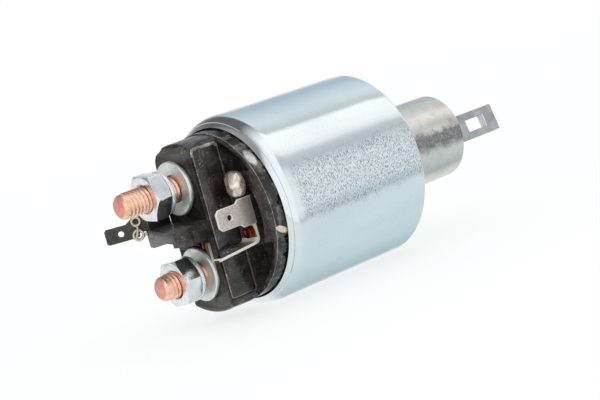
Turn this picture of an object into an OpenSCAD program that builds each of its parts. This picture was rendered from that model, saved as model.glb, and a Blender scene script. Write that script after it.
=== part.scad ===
// Starter solenoid relay, lying along X. The plunger and its link leave the steel case towards +X.
// The black terminal cap with its two copper studs closes the case towards -X.
// The origin is the centre of the case's front face, which seats on the starter. +Z runs from the
// lower, motor stud to the upper, battery stud. All lengths are in millimetres.

/* [Case] */
// Outside diameter of the steel case
case_d = 59; // [57:0.5:63]
// Length of the case from its front face to where its end begins to roll in
case_l = 49; // [49:0.2:54]
// Wall of the case round the winding
case_wall = 3; // [2.6:0.1:3.2]
// Wall of the case where it is counterbored for the core plate and the cap
case_end_wall = 1.8; // [1.5:0.1:2]
// Thickness of the case's front wall
front_t = 5; // [4:0.5:5.5]
// Radius of the rounded front edge
front_edge_r = 1.2; // [0.8:0.1:2]
// Length over which the end of the case is rolled in
lip_l = 5.5; // [5:0.1:6]
// How far the rolled lip reaches in from the outside of the case
lip_reach = 3; // [2.6:0.1:3.2]
// Distance from where the case's end begins to roll in to the cap's inner end
cap_seat_l = 1.8; // [1.2:0.1:2.4]

/* [Mounting] */
// Number of tapped holes in the front face
mount_count = 3; // [2:1:4]
// Diameter of the circle that the tapped holes lie on
mount_circle_d = 43; // [42:0.5:44]
// Bore of a tapped hole, the core diameter of an M5 thread
mount_bore_d = 4.2; // [3.3:0.1:5]

/* [Winding] */
// Thickness of a bobbin flange
bobbin_flange_t = 1.5; // [1:0.1:2]
// Wall of the bobbin's barrel
bobbin_wall = 1.3; // [0.8:0.1:1.5]
// How far the wrap round the windings lies below the bobbin's flanges
winding_sink = 0.9; // [0.6:0.1:1.4]
// Thickness of the insulating wrap round the windings
wrap_t = 0.4; // [0.2:0.1:0.6]
// Diameter of a winding lead
lead_d = 1.6; // [1.2:0.1:1.8]

/* [Core] */
// Thickness of the core plate
plate_t = 5; // [4:0.5:5.4]
// Length of the core plug inside the winding
plug_l = 10; // [9:0.5:11]
// Diameter of the spigot that fixes the plug in the core plate
spigot_d = 15.8; // [14:0.2:18]
// Depth of the spring pocket in the plug
plug_pocket_l = 5; // [4:0.2:6]
// Thickness of the rubber gasket between the core plate and the cap
gasket_t = 1.2; // [1:0.1:1.5]
// Width of the gasket ring
gasket_w = 1.6; // [1.2:0.1:2]

/* [Plunger] */
// Diameter of the plunger
plunger_d = 27.6; // [27:0.1:28.5]
// How far the plunger stands out of the case at rest
plunger_out = 34.8; // [33:0.2:37]
// Travel of the plunger when it is pulled in
plunger_travel = 10.7; // [9:0.1:11]
// Gap left between the pulled-in plunger and the core plug
plunger_gap = 0.3; // [0.2:0.05:0.5]
// Depth of the return spring's pocket in the plunger
plunger_pocket_l = 10.6; // [10:0.2:12]
// Diameter of the return spring's pockets in the plunger and in the plug
pocket_d = 17; // [16:0.2:18]
// Depth of the bore that holds the link spring
link_bore_l = 32.8; // [32:0.2:34]
// Diameter of the bore that holds the link spring
link_bore_d = 19.2; // [18.4:0.2:20]
// Rounding of the plunger's edges
plunger_edge = 0.6; // [0.3:0.1:1]
// Running gap between the plunger and its brass guide tube, on the radius
running_gap = 0.06; // [0.03:0.01:0.09]
// Wall of the brass guide tube
tube_wall = 0.5; // [0.4:0.05:0.7]

/* [Link] */
// Thickness of the flat link
link_t = 3; // [2.5:0.1:3.5]
// Width of the flat link
link_w = 9.1; // [8.5:0.1:9.6]
// How far the link stands out of the plunger
link_out = 28.8; // [26:0.2:32]
// Length of the slot for the fork lever
slot_l = 8.7; // [7.5:0.1:10]
// Width of the slot for the fork lever
slot_w = 4.3; // [3.8:0.1:4.8]
// Web of the link beyond the slot
slot_web = 5.3; // [4:0.1:6]
// How far the link lies off the plunger's axis
link_off = 1; // [0:0.1:1.2]
// Turn of the link about the plunger's axis from the line of the studs, in degrees
link_roll = 13.3; // [0:0.1:20]
// Thickness of the link's round head
head_t = 3; // [2:0.2:4]
// Thickness of the plate that keeps the link in the plunger
retainer_t = 2; // [1.6:0.1:2.4]
// Thickness of the rim crimped over that plate
crimp_t = 1; // [0.8:0.1:1.4]

/* [Springs] */
// Wire of the plunger's return spring
return_wire_d = 1.4; // [1:0.1:1.6]
// Coils of the plunger's return spring
return_coils = 8; // [6:1:9]
// Wire of the link spring
link_wire_d = 2; // [1.6:0.1:2.2]
// Coils of the link spring
link_coils = 7; // [6:1:8]
// Wire of the contact spring
contact_wire_d = 0.8; // [0.6:0.1:0.9]
// Coils of the contact spring
contact_coils = 5; // [4:1:6]
// Wire of the overtravel spring
over_wire_d = 0.8; // [0.6:0.1:0.9]
// Coils of the overtravel spring
over_coils = 2; // [1.5:0.5:2.5]

/* [Cap] */
// Distance from the rolled lip's edge to the front face of the terminal block
block_l = 14.5; // [14:0.2:16]
// Width of the terminal block
block_w = 18.2; // [17.6:0.2:20]
// Diameter of the block's rounded ends at its front face
block_end_d = 51.6; // [50:0.2:52]
// How far the studs and the block's front end lie below the case's axis
block_drop = 0.45; // [0:0.05:0.6]
// Rounding of the edge round the block's front face
block_edge_r = 1.4; // [0.8:0.1:1.6]
// Distance from the rolled lip's edge to the rim of the collar
collar_l = 3.7; // [3.3:0.1:4.1]
// Wall of the collar
collar_wall = 1.7; // [1.4:0.1:2.2]
// Radial gap between the collar and the rolled lip
lip_gap = 0.5; // [0.3:0.1:0.7]
// Depth of the recess between the block and the collar
recess_l = 6; // [5:0.2:6.4]
// Width of the chamber for the contact bridge
chamber_w = 14; // [13.4:0.2:14.6]
// Length of the chamber along the line of the studs
chamber_h = 41; // [40.4:0.2:41.6]
// Thickness of the cap behind the block's front face
roof_t = 8.5; // [8:0.1:9]
// Width of the sunk panel in the block's side
panel_w = 9.4; // [8.4:0.2:9.6]
// Length of the sunk panel
panel_h = 45; // [42:0.5:46]
// Depth of the sunk panel
panel_t = 0.5; // [0.3:0.1:0.8]
// Distance from the block's front face to the sunk panel
panel_edge = 1; // [0.8:0.1:1.4]

/* [Barrier] */
// How far the barrier between the studs stands out of the block
barrier_l = 14.8; // [13:0.2:16]
// How far the barrier stands out at its far end
barrier_back_l = 7.4; // [6.6:0.2:8]
// How far the barrier's near end passes the block's side
barrier_near_w = 4.6; // [4:0.2:5]
// How far the barrier's far end passes the block's side
barrier_far_w = 3.4; // [3.2:0.2:3.8]
// Height of the barrier's top above the middle of the block
barrier_top = 2.3; // [2:0.1:2.6]
// Thickness of the barrier at its thin front edge
barrier_t = 3.3; // [3:0.1:3.6]
// Thickness of the barrier at its near corner and at its far end
barrier_root_t = 5.3; // [5:0.1:5.6]

/* [Studs] */
// Distance between the two terminal studs
stud_spacing = 26.4; // [26:0.1:26.8]
// Thread diameter of the studs
stud_d = 7.8; // [7.6:0.1:8.2]
// How far the battery stud stands out of the block
battery_out = 21.8; // [20:0.2:24]
// How far the motor stud stands out of the block
motor_out = 16.2; // [15.6:0.2:20]
// Length of the chamfer at a stud's tip
tip_chamfer = 0.9; // [0.6:0.1:1.2]
// Length of a stud's square head across the line of the studs
head_w = 12; // [11:0.2:12.4]
// Length of a stud's square head along the line of the studs
head_h = 11; // [10:0.2:11.6]
// Thickness of a stud's head
stud_head_t = 3; // [2.6:0.1:3.2]
// Size of the nuts across their flats
nut_af = 13; // [12.6:0.1:13.4]
// Thickness of a nut
nut_t = 5.2; // [4.8:0.1:5.6]
// Diameter of a flat washer
washer_d = 16.4; // [16:0.2:17]
// Diameter of the smaller washer between the battery stud's flat washer and the block
inner_washer_d = 14; // [13:0.2:15]
// Thickness of a flat washer
washer_t = 1.2; // [1:0.1:1.3]
// Diameter of a spring washer
spring_washer_d = 13.4; // [13:0.2:14.4]
// Thickness of a spring washer
spring_washer_t = 1.8; // [1.5:0.1:2]
// Turn of the battery stud's nut about its stud, in degrees
battery_nut_turn = 33; // [0:1:60]
// Turn of the motor stud's nut about its stud, in degrees
motor_nut_turn = 24; // [0:1:60]
// Distance from the block to the battery stud's spring washer
battery_nut_out = 6; // [4:0.2:7]
// Distance from the block to the motor stud's spring washer
motor_nut_out = 4.2; // [3.6:0.2:4.6]

/* [Terminals] */
// Thickness of the tab terminals
tab_t = 0.8; // [0.7:0.05:1]
// Width of the side tab
side_tab_w = 6.3; // [6:0.1:6.5]
// Distance from the middle of the block to the side tab's outer face
side_tab_y = 17.6; // [17.2:0.1:18]
// Length of the side tab's blade
side_blade_l = 7.6; // [7:0.1:8.2]
// Length of the side tab's wider base
side_base_l = 5.6; // [5:0.1:6]
// Height of the side tab above the middle of the block
side_tab_z = 1.65; // [1.4:0.05:1.9]
// Bore of the holes in the tabs
tab_hole_d = 1.8; // [1.5:0.1:2.2]
// Width of the front tab
front_tab_w = 4.7; // [4.4:0.1:5]
// Length of the front tab's blade and neck
front_tab_l = 13.2; // [12:0.2:14]
// Swing of the front tab away from the plunger's axis, in degrees
front_tab_turn = 35; // [32:1:38]
// Height of the front tab above the middle of the block
front_tab_z = 3.4; // [3.2:0.1:3.6]
// Thickness of the motor strap
strap_t = 0.8; // [0.7:0.05:1]
// Width of the motor strap across the block's side
strap_w = 7.8; // [7.2:0.1:8]
// Diameter of the motor strap's eye
strap_eye_d = 14.4; // [13.6:0.2:15.6]

/* [Contact] */
// Diameter of the contact rod
rod_d = 5; // [4.6:0.1:5.4]
// Length of the contact bridge
bridge_l = 37; // [36:0.2:38]
// Width of the contact bridge
bridge_w = 11; // [10:0.2:12]
// Thickness of the contact bridge
bridge_t = 2.5; // [2.2:0.1:2.6]
// Gap between the bridge and the stud heads when the contact is open
contact_gap = 2.5; // [2.3:0.1:2.7]
// Gap left there when the contact has closed
closed_gap = 0.3; // [0.2:0.05:0.4]
// Wall of the insulating sleeve and bush
insulator_wall = 1.1; // [0.9:0.1:1.3]
// Length of the insulating bush beyond the bridge
bush_l = 1.4; // [1.2:0.1:1.6]

/* [Hidden] */
$fn = 96;

// Clearances and the overrun of every cut
over = 1;
fit_gap = 0.1;
static_gap = 0.05;
seat_gap = 0.3;

// Share of the winding's depth that the heavy pull-in winding takes
pull_in_share = 0.52;

// Radii that follow from the sizes above
case_r = case_d / 2;
case_in_r = case_r - case_wall;
seat_r = case_r - case_end_wall;
lip_r = case_r - lip_reach;
plunger_r = plunger_d / 2;
tube_in_r = plunger_r + running_gap;
tube_out_r = tube_in_r + tube_wall;
front_bore_r = tube_out_r + fit_gap;
bobbin_in_r = tube_out_r + fit_gap;
bobbin_mid_r = bobbin_in_r + bobbin_wall;
bobbin_out_r = case_in_r - seat_gap;
wrap_r = bobbin_out_r - winding_sink;
hold_in_r = wrap_r - wrap_t - static_gap;
pull_in_r = bobbin_mid_r + static_gap + (hold_in_r - bobbin_mid_r - 2 * static_gap) * pull_in_share;
plug_r = tube_in_r - seat_gap;
pocket_r = pocket_d / 2;
spigot_r = spigot_d / 2;
rod_r = rod_d / 2;
rod_bore_r = rod_r + running_gap;
link_bore_r = link_bore_d / 2;
crimp_r = link_bore_r - crimp_t;
stud_r = stud_d / 2;
stud_bore_r = stud_r + static_gap;
nut_bore_r = stud_r + fit_gap;
washer_bore_r = stud_r + 2 * fit_gap;
lead_r = lead_d / 2;
lead_bore_r = lead_r + fit_gap;
// The case's end is rolled along an arc; the cap's flange follows it inside
roll_r = (pow(lip_l, 2) + pow(lip_reach, 2)) / (2 * lip_reach);
roll_mid_r = case_r - roll_r;
roll_in_r = roll_r - case_end_wall;
flange_roll_r = roll_in_r - fit_gap;
collar_r = lip_r - lip_gap;
flange_turn = acos((collar_r - roll_mid_r) / flange_roll_r);
collar_in_r = collar_r - collar_wall;
block_end_r = block_end_d / 2;
block_half = block_w / 2;

// Places along X, from the front face towards the terminals
roll_x = -case_l;
lip_x = roll_x - lip_l;
cap_x = roll_x + cap_seat_l;
plate_end_x = cap_x + gasket_t;
step_x = plate_end_x + plate_t;
bobbin_x = -front_t - seat_gap;
bobbin_end_x = step_x + seat_gap;
plug_x = step_x + plug_l;
block_x = lip_x - block_l;
collar_x = lip_x - collar_l;
recess_x = collar_x + recess_l;
roof_x = block_x + roof_t;
contact_x = roof_x + stud_head_t;
plunger_x = plug_x + plunger_travel + plunger_gap;
pocket_x = plunger_x + plunger_pocket_l;
bore_x = plunger_out - link_bore_l;
retainer_end_x = plunger_out - crimp_t;
retainer_x = retainer_end_x - retainer_t;
head_x = bore_x + seat_gap;
head_end_x = head_x + head_t;
link_end_x = plunger_out + link_out;
slot_end_x = link_end_x - slot_web;
plug_pocket_x = plug_x - plug_pocket_l;
battery_z = stud_spacing / 2 - block_drop;
motor_z = -stud_spacing / 2 - block_drop;

// Contact rod and the parts on it
contact_travel = contact_gap - closed_gap;
bridge_out_x = contact_x + contact_gap;
bridge_in_x = bridge_out_x + bridge_t;
sleeve_t = 1.2;
sleeve_x = bridge_in_x + sleeve_t;
rod_collar_t = 1;
rod_collar_x = plate_end_x - seat_gap;
rod_collar_end_x = rod_collar_x - rod_collar_t;
rod_collar_r = rod_r + 2 * insulator_wall;
bush_out_x = bridge_out_x - bush_l;
clip_t = 0.8;
clip_x = bush_out_x - clip_t;
clip_groove = 0.5;
rod_tail = 1.2;
rod_out_x = clip_x - rod_tail;
rod_in_x = pocket_x - plunger_travel - seat_gap + contact_travel;
sleeve_r = rod_r + static_gap + insulator_wall;
bush_r = sleeve_r + insulator_wall;
contact_pocket_r = bush_r + static_gap;
contact_pocket_x = block_x + (roof_t - contact_travel) / 2;

// Winding ends
winding_x = bobbin_x - bobbin_flange_t - static_gap;
winding_end_x = bobbin_end_x + bobbin_flange_t + static_gap;
lead_in = 1.8;
lead_up = 5.05;
lead_y = -side_tab_y + lead_in;
lead_z = side_tab_z + side_tab_w / 2 + lead_up;
solder_l = 5;
solder_x = collar_x - solder_l / 2 - fit_gap;
solder_h = 7.8;

// Side tab, strap and the ledge they stand on
ledge_x = collar_x;
side_edge_x = collar_x;
side_notch_x = side_edge_x - side_base_l;
side_tip_x = side_notch_x - side_blade_l;
side_base_grow = 1;
tab_corner = 1.1;
side_foot_w = 4.6;
side_foot_h = 4.4;
rivet_r = 1.4;
rivet_head_r = 2.1;
rivet_head_t = 0.7;
rivet_l = 1.6;
strap_z = -8.4;
strap_top_z = -2.6;
strap_y = -block_half - fit_gap;
strap_out_y = strap_y - strap_w;
strap_front_y = -9.5;
strap_bend_r = 1;
strap_front_bend_r = 0.4;
strap_drop = 2.3;
strap_lug_w = 1.6;
strap_lug_z = -4.7;
strap_eye_r = strap_eye_d / 2;
strap_rivet_y = -14.6;
strap_rivet_z = -4.6;
strap_head_r = 1.9;
strap_head_t = 1.8;
ledge_top_z = side_tab_z + side_tab_w / 2 + side_base_grow;
ledge_y = -side_tab_y + tab_t + fit_gap;
pad_r = 20.4;
pad_top_z = 12.9;
pad_bottom_z = -8.6;

// Front tab: its root stands in a rib on the far side of the block
rib_y = block_half + barrier_far_w;
root_y = block_half + barrier_far_w / 2;
root_x = block_x - barrier_back_l;
root_l = 8;
root_top_z = 7.2;
root_sink = 1.5;
wire_r = 0.5;

// Shares that place points of the barrier's outline between named sizes
near_side_share = 0.3;
near_bulge_share = 0.72;
wedge_share = 0.5;

// Places of the tabs' holes as shares of the side blade's length and of the front blade's width
side_hole_share = 0.58;
front_hole_share = 1;

// Share of the solder blob's size that its flat ends keep
blob_end_share = 0.6;

// Share by which a wire's elbow is fuller than the wire
elbow_share = 1.06;

// Steps round one turn of a coil spring, and sides of its wire
coil_steps = 8;
coil_sides = 6;

// Places of the winding ends round the motor stud, in degrees from the stud's upper side
finish_end_turn = 14;
finish_near_turn = 31;
finish_far_turn = 36;

// The boss at the barrier's near corner: its inset from the top's outline and its corner
boss_inset = 1.4;
boss_r = 1.8;

// Draws its children, modelled along +Z, along +X from x
module along_x(x) {
    translate([x, 0, 0])
        rotate([0, 90, 0])
            children();
}

// A body turned about the X axis from points [radius, x]
module turned(points) {
    rotate([0, 90, 0])
        rotate_extrude()
            polygon(points);
}

// A plain ring about the X axis
module ring_x(x_low, x_high, r_out, r_in) {
    turned([[r_in, x_low], [r_out, x_low], [r_out, x_high], [r_in, x_high]]);
}

// A round bar along X whose axis lies at y, z
module bar_x(x_low, x_high, y, z, r) {
    translate([0, y, z])
        along_x(x_low)
            cylinder(h = x_high - x_low, r = r);
}

// A box between two corners
module box(low, high) {
    translate(low)
        cube(high - low);
}

// Points of an arc in a turned outline
function arc(r_mid, x_mid, r, start, stop, steps = 8) =
    [for (i = [0:steps]) let (a = start + (stop - start) * i / steps)
        [r_mid + r * cos(a), x_mid + r * sin(a)]];

// A round wire through points, with round elbows
module wire(points, r) {
    for (i = [0:len(points) - 2]) {
        step = points[i + 1] - points[i];
        flat = norm([step[0], step[1]]);
        translate(points[i])
            rotate([0, atan2(flat, step[2]), atan2(step[1], step[0])])
                cylinder(h = norm(step), r = r, $fn = 24);
    }
    for (i = [1:len(points) - 2])
        translate(points[i])
            sphere(r = r * elbow_share, $fn = 24);
}

// Centre line of a coil spring between two faces
function coil_line(x_low, x_high, r, wire_d, coils) =
    let (steps = coils * coil_steps)
    [for (i = [0:steps]) let (a = 360 * i / coil_steps)
        [x_low + wire_d / 2 + (x_high - x_low - wire_d) * i / steps, r * cos(a), r * sin(a)]];

// One unbroken round-wire coil about the X axis
module coil(x_low, x_high, r, wire_d, coils) {
    line = coil_line(x_low, x_high, r, wire_d, coils);
    rings = len(line);
    sides = coil_sides;
    slope = atan((x_high - x_low - wire_d) / (coils * 2 * PI * r));
    points = [for (i = [0:rings - 1], j = [0:sides - 1])
        let (a = 360 * i / coil_steps, b = 360 * j / sides, out = [0, cos(a), sin(a)],
            up = [cos(slope), sin(a) * sin(slope), -cos(a) * sin(slope)])
        line[i] + wire_d / 2 * (cos(b) * out + sin(b) * up)];
    walls = [for (i = [0:rings - 2], j = [0:sides - 1])
        let (k = (j + 1) % sides)
        each [[i * sides + j, i * sides + k, (i + 1) * sides + k],
            [i * sides + j, (i + 1) * sides + k, (i + 1) * sides + j]]];
    first = [for (j = [1:sides - 2]) [0, j + 1, j]];
    last = [for (j = [1:sides - 2]) let (n = (rings - 1) * sides) [n, n + j, n + j + 1]];
    polyhedron(points, concat(walls, first, last));
}

// Least gap between neighbouring turns of a coil, measured on its centre line
function coil_gap(x_low, x_high, r, wire_d, coils) =
    let (line = coil_line(x_low, x_high, r, wire_d, coils))
    min([for (i = [0:len(line) - 1], j = [i + coil_steps - 2:len(line) - 1]) norm(line[j] - line[i])])
        - wire_d;

// Case

module case_shell() {
    color("#c9d2d8")
        difference() {
            turned(concat(
                [[front_bore_r, 0]],
                arc(case_r - front_edge_r, -front_edge_r, front_edge_r, 90, 0),
                arc(roll_mid_r, roll_x, roll_r, 0, -asin(lip_l / roll_r)),
                arc(roll_mid_r, roll_x, roll_in_r, -acos((lip_r - roll_mid_r) / roll_in_r), 0),
                [[seat_r, step_x], [case_in_r, step_x], [case_in_r, -front_t],
                    [front_bore_r, -front_t]]));
            for (i = [0:mount_count - 1])
                rotate([360 * i / mount_count, 0, 0])
                    bar_x(-front_t - over, over, 0, mount_circle_d / 2, mount_bore_d / 2);
        }
}

module guide_tube() {
    color("#c8a24a")
        ring_x(step_x + seat_gap, 0, tube_out_r, tube_in_r);
}

// Winding

module coil_bobbin() {
    color("#e6e2d4")
        difference() {
            turned([[bobbin_in_r, bobbin_x], [bobbin_out_r, bobbin_x],
                [bobbin_out_r, bobbin_x - bobbin_flange_t], [bobbin_mid_r, bobbin_x - bobbin_flange_t],
                [bobbin_mid_r, bobbin_end_x + bobbin_flange_t],
                [bobbin_out_r, bobbin_end_x + bobbin_flange_t],
                [bobbin_out_r, bobbin_end_x], [bobbin_in_r, bobbin_end_x]]);
            bar_x(bobbin_end_x - over, bobbin_end_x + bobbin_flange_t + over, lead_y, lead_z, lead_bore_r);
        }
}

module pull_in_winding() {
    color("#b5582f")
        ring_x(winding_end_x, winding_x, pull_in_r, bobbin_mid_r + static_gap);
}

module hold_in_winding() {
    color("#8c3b22")
        ring_x(winding_end_x, winding_x, hold_in_r, pull_in_r + static_gap);
}

module winding_wrap() {
    color("#d9c48c")
        ring_x(winding_end_x, winding_x, wrap_r, hold_in_r + static_gap);
}

// Core

module core_plate() {
    color("#9a9ea2")
        difference() {
            ring_x(plate_end_x, step_x, seat_r - fit_gap, spigot_r + static_gap);
            bar_x(plate_end_x - over, step_x + over, lead_y, lead_z, lead_bore_r);
        }
}

module core_plug() {
    color("#84888c")
        turned([[rod_bore_r, plate_end_x], [spigot_r, plate_end_x], [spigot_r, step_x],
            [plug_r, step_x], [plug_r, plug_x], [pocket_r, plug_x], [pocket_r, plug_pocket_x],
            [rod_bore_r, plug_pocket_x]]);
}

module cap_gasket() {
    color("#1d1d1f")
        ring_x(cap_x, plate_end_x, seat_r - fit_gap, seat_r - fit_gap - gasket_w);
}

// Cap

// The block: flat sides, and round ends about an axis that lies a little below the case's
module block() {
    intersection() {
        box([block_x, -block_half, -case_r], [collar_x, block_half, case_r]);
        translate([0, 0, -block_drop])
            turned(concat(
                [[0, collar_x], [collar_r, collar_x]],
                arc(block_end_r - block_edge_r, block_x + block_edge_r, block_edge_r, 0, -90),
                [[0, block_x]]));
    }
}

// The turned form of the cap's flange and collar
module cap_blank() {
    turned(concat(
        [[0, cap_x], [seat_r - fit_gap, cap_x]],
        arc(roll_mid_r, roll_x, flange_roll_r, 0, -flange_turn),
        [[collar_r, collar_x], [0, collar_x]]));
}

// The recess beside the block, round the ledge and the thick pad of the collar
module cap_recess() {
    difference() {
        bar_x(collar_x - over, recess_x, 0, 0, collar_in_r);
        box([block_x, -block_half, -case_r], [recess_x, block_half, case_r]);
        box([ledge_x, ledge_y, strap_z - strap_t], [recess_x, -block_half + over, ledge_top_z]);
        difference() {
            box([collar_x - over, -case_r, pad_bottom_z], [recess_x, -block_half, pad_top_z]);
            bar_x(collar_x - 2 * over, recess_x + over, 0, 0, pad_r);
        }
        box([block_x, block_half - over, barrier_top - barrier_root_t], [recess_x, rib_y, barrier_top]);
    }
}

// Outline of the barrier seen from above
module barrier_plan() {
    near_y = -block_half - barrier_near_w;
    front_x = block_x - barrier_l;
    corner_r = barrier_near_w / 4;
    polygon(concat(
        [[block_x + over, -block_half], [block_x - barrier_l * near_side_share, -block_half - over],
            [block_x - barrier_l * near_bulge_share, near_y + corner_r / 2]],
        [for (a = [-90:-22.5:-180])
            [front_x + corner_r + corner_r * cos(a), near_y + corner_r + corner_r * sin(a)]],
        [[block_x - barrier_back_l, rib_y], [collar_x, rib_y], [collar_x, block_half - over],
            [block_x + over, block_half - over]]));
}

// Outline of the thicker boss at the barrier's near corner
module barrier_boss() {
    out_y = -block_half - barrier_near_w + boss_inset;
    front_x = block_x - barrier_l * near_bulge_share;
    polygon(concat(
        [[block_x + over, -block_half], [block_x - barrier_l * near_side_share, out_y]],
        arc(front_x + boss_r, out_y + boss_r, boss_r, -90, -180),
        [[front_x, -block_half * wedge_share], [block_x + over, -block_half * wedge_share]]));
}

// The barrier's profile seen along the axis: thick at the far end, thin at its front edge
module barrier_wedge() {
    bottom = barrier_top - barrier_root_t;
    rotate([90, 0, 90])
        translate([0, 0, block_x - barrier_l - over])
            linear_extrude(block_l + barrier_l + over)
                polygon([[-case_r, barrier_top - barrier_t], [-case_r, barrier_top], [rib_y, barrier_top],
                    [rib_y, bottom], [block_half, bottom],
                    [-block_half * wedge_share, barrier_top - barrier_t]]);
}

module barrier() {
    bottom = barrier_top - barrier_root_t;
    intersection() {
        translate([0, 0, bottom])
            linear_extrude(barrier_root_t)
                barrier_plan();
        union() {
            barrier_wedge();
            translate([0, 0, bottom])
                linear_extrude(barrier_root_t)
                    barrier_boss();
        }
    }
}

// The sunk panel in one side of the block
module panel(side) {
    r = panel_edge;
    translate([block_x + panel_edge + panel_w / 2, side * block_half, 0])
        rotate([90, 0, 0])
            linear_extrude(2 * panel_t, center = true)
                union() {
                    square([panel_w - 2 * r, panel_h], center = true);
                    square([panel_w, panel_h - 2 * r], center = true);
                    for (x = [-1, 1], z = [-1, 1])
                        translate([x * (panel_w / 2 - r), z * (panel_h / 2 - r)])
                            circle(r = r, $fn = 32);
                }
}

module terminal_cap() {
    color("#232427")
        difference() {
            union() {
                difference() {
                    union() {
                        cap_blank();
                        block();
                    }
                    cap_recess();
                    panel(-1);
                    panel(1);
                }
                barrier();
            }
            box([roof_x, -chamber_w / 2, -chamber_h / 2], [cap_x + over, chamber_w / 2, chamber_h / 2]);
            bar_x(contact_pocket_x, roof_x + over, 0, 0, contact_pocket_r);
            for (z = [motor_z, battery_z])
                bar_x(block_x - over, roof_x + over, 0, z, stud_bore_r);
            bar_x(recess_x - over, cap_x + over, lead_y, lead_z, lead_bore_r);
            side_rivet_cut();
            strap_rivet_cut();
            box([root_x - over, root_y - tab_t / 2 - static_gap, barrier_top - root_sink],
                [root_x + root_l + static_gap, root_y + tab_t / 2 + static_gap, barrier_top + over]);
        }
}

// Studs

// A terminal stud: head in the cap's chamber, threaded shank through its roof
module stud(z, out) {
    tip_x = block_x - out;
    translate([0, 0, z])
        union() {
            turned([[0, contact_x], [stud_r, contact_x], [stud_r, tip_x + tip_chamfer],
                [stud_r - tip_chamfer, tip_x], [0, tip_x]]);
            box([roof_x, -head_w / 2, -head_h / 2], [contact_x, head_w / 2, head_h / 2]);
        }
}

module battery_stud() {
    color("#d98a5b")
        stud(battery_z, battery_out);
}

module motor_stud() {
    color("#d98a5b")
        stud(motor_z, motor_out);
}

// A washer on a stud, its inner face at x
module washer(x, z, d, t) {
    translate([0, 0, z])
        ring_x(x - t, x, d / 2, washer_bore_r);
}

module battery_flat_washers() {
    color("#c3c7c6") {
        washer(block_x, battery_z, inner_washer_d, washer_t);
        washer(block_x - washer_t - static_gap, battery_z, washer_d, washer_t);
    }
}

module motor_flat_washer() {
    color("#c3c7c6")
        washer(block_x - strap_t, motor_z, washer_d, washer_t);
}

// A split spring washer, its inner face at x
module spring_washer(x, z) {
    difference() {
        washer(x, z, spring_washer_d, spring_washer_t);
        box([x - spring_washer_t - over, 0, z - spring_washer_t / 2],
            [x + over, spring_washer_d, z + spring_washer_t / 2]);
    }
}

module battery_spring_washer() {
    color("#b9bfc2")
        spring_washer(block_x - battery_nut_out, battery_z);
}

module motor_spring_washer() {
    color("#b9bfc2")
        spring_washer(block_x - motor_nut_out, motor_z);
}

// A hexagon nut with chamfered corners, its inner face at x and its flats turned
module nut(x, z, turn) {
    corner_r = nut_af / 2 / cos(30);
    chamfer = corner_r - nut_af / 2;
    slope = chamfer / 2;
    translate([0, 0, z])
        difference() {
            intersection() {
                rotate([turn, 0, 0])
                    along_x(x - nut_t)
                        cylinder(h = nut_t, r = corner_r, $fn = 6);
                turned([[0, x - nut_t], [nut_af / 2, x - nut_t], [corner_r, x - nut_t + slope],
                    [corner_r, x - slope], [nut_af / 2, x], [0, x]]);
            }
            along_x(x - nut_t - over)
                cylinder(h = nut_t + 2 * over, r = nut_bore_r);
        }
}

module battery_nut() {
    color("#c9cdd2")
        nut(block_x - battery_nut_out - spring_washer_t, battery_z, battery_nut_turn);
}

module motor_nut() {
    color("#c9cdd2")
        nut(block_x - motor_nut_out - spring_washer_t, motor_z, motor_nut_turn);
}

// Side tab

module side_rivet_cut() {
    bar_x(ledge_x - over, ledge_x + rivet_l, -block_half - side_foot_w / 2, side_tab_z, rivet_r + static_gap);
}

module side_tab() {
    low_z = side_tab_z - side_tab_w / 2;
    high_z = side_tab_z + side_tab_w / 2;
    foot_low = side_tab_z - side_foot_h / 2;
    foot_high = side_tab_z + side_foot_h / 2;
    color("#b9b4a8")
        difference() {
            union() {
                translate([0, -side_tab_y + tab_t, 0])
                    rotate([90, 0, 0])
                        linear_extrude(tab_t)
                            polygon([[side_tip_x, low_z + tab_corner], [side_tip_x + tab_corner, low_z],
                                [side_notch_x, low_z], [side_notch_x + side_base_grow, low_z - side_base_grow],
                                [side_edge_x, low_z - side_base_grow], [side_edge_x, high_z + side_base_grow],
                                [side_notch_x + side_base_grow, high_z + side_base_grow],
                                [side_notch_x, high_z], [side_tip_x + tab_corner, high_z],
                                [side_tip_x, high_z - tab_corner]]);
                box([ledge_x - strap_t, -side_tab_y, foot_low], [ledge_x, -block_half - fit_gap, foot_high]);
            }
            translate([side_tip_x + side_blade_l * side_hole_share, -side_tab_y - over, side_tab_z])
                rotate([-90, 0, 0])
                    cylinder(h = tab_t + 2 * over, r = tab_hole_d / 2, $fn = 48);
            bar_x(ledge_x - strap_t - over, ledge_x + over, -block_half - side_foot_w / 2, side_tab_z,
                rivet_r + static_gap);
        }
}

module side_tab_rivet() {
    y = -block_half - side_foot_w / 2;
    color("#c8a24a")
        union() {
            bar_x(ledge_x - strap_t, ledge_x + rivet_l - fit_gap, y, side_tab_z, rivet_r);
            bar_x(ledge_x - strap_t - rivet_head_t, ledge_x - strap_t, y, side_tab_z, rivet_head_r);
        }
}

// Solder that joins the start lead to the side tab's upper edge
module side_tab_solder() {
    blob_r = solder_h / 2;
    color("#d5d6d4")
        difference() {
            translate([0, lead_y, lead_z])
                turned([[0, solder_x - solder_l / 2], [blob_r * blob_end_share, solder_x - solder_l / 2],
                    [blob_r, solder_x - solder_l / 2 * blob_end_share],
                    [blob_r, solder_x + solder_l / 2 * blob_end_share],
                    [blob_r * blob_end_share, solder_x + solder_l / 2], [0, solder_x + solder_l / 2]]);
            bar_x(solder_x - lead_d, collar_x + solder_l, lead_y, lead_z, lead_r + static_gap);
            box([side_tip_x, -side_tab_y - over, side_tab_z], [collar_x + over,
                -side_tab_y + tab_t + static_gap, ledge_top_z + static_gap]);
        }
}

module start_lead() {
    color("#b5582f")
        bar_x(solder_x - lead_d + static_gap, winding_end_x - fit_gap, lead_y, lead_z, lead_r);
}

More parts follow.
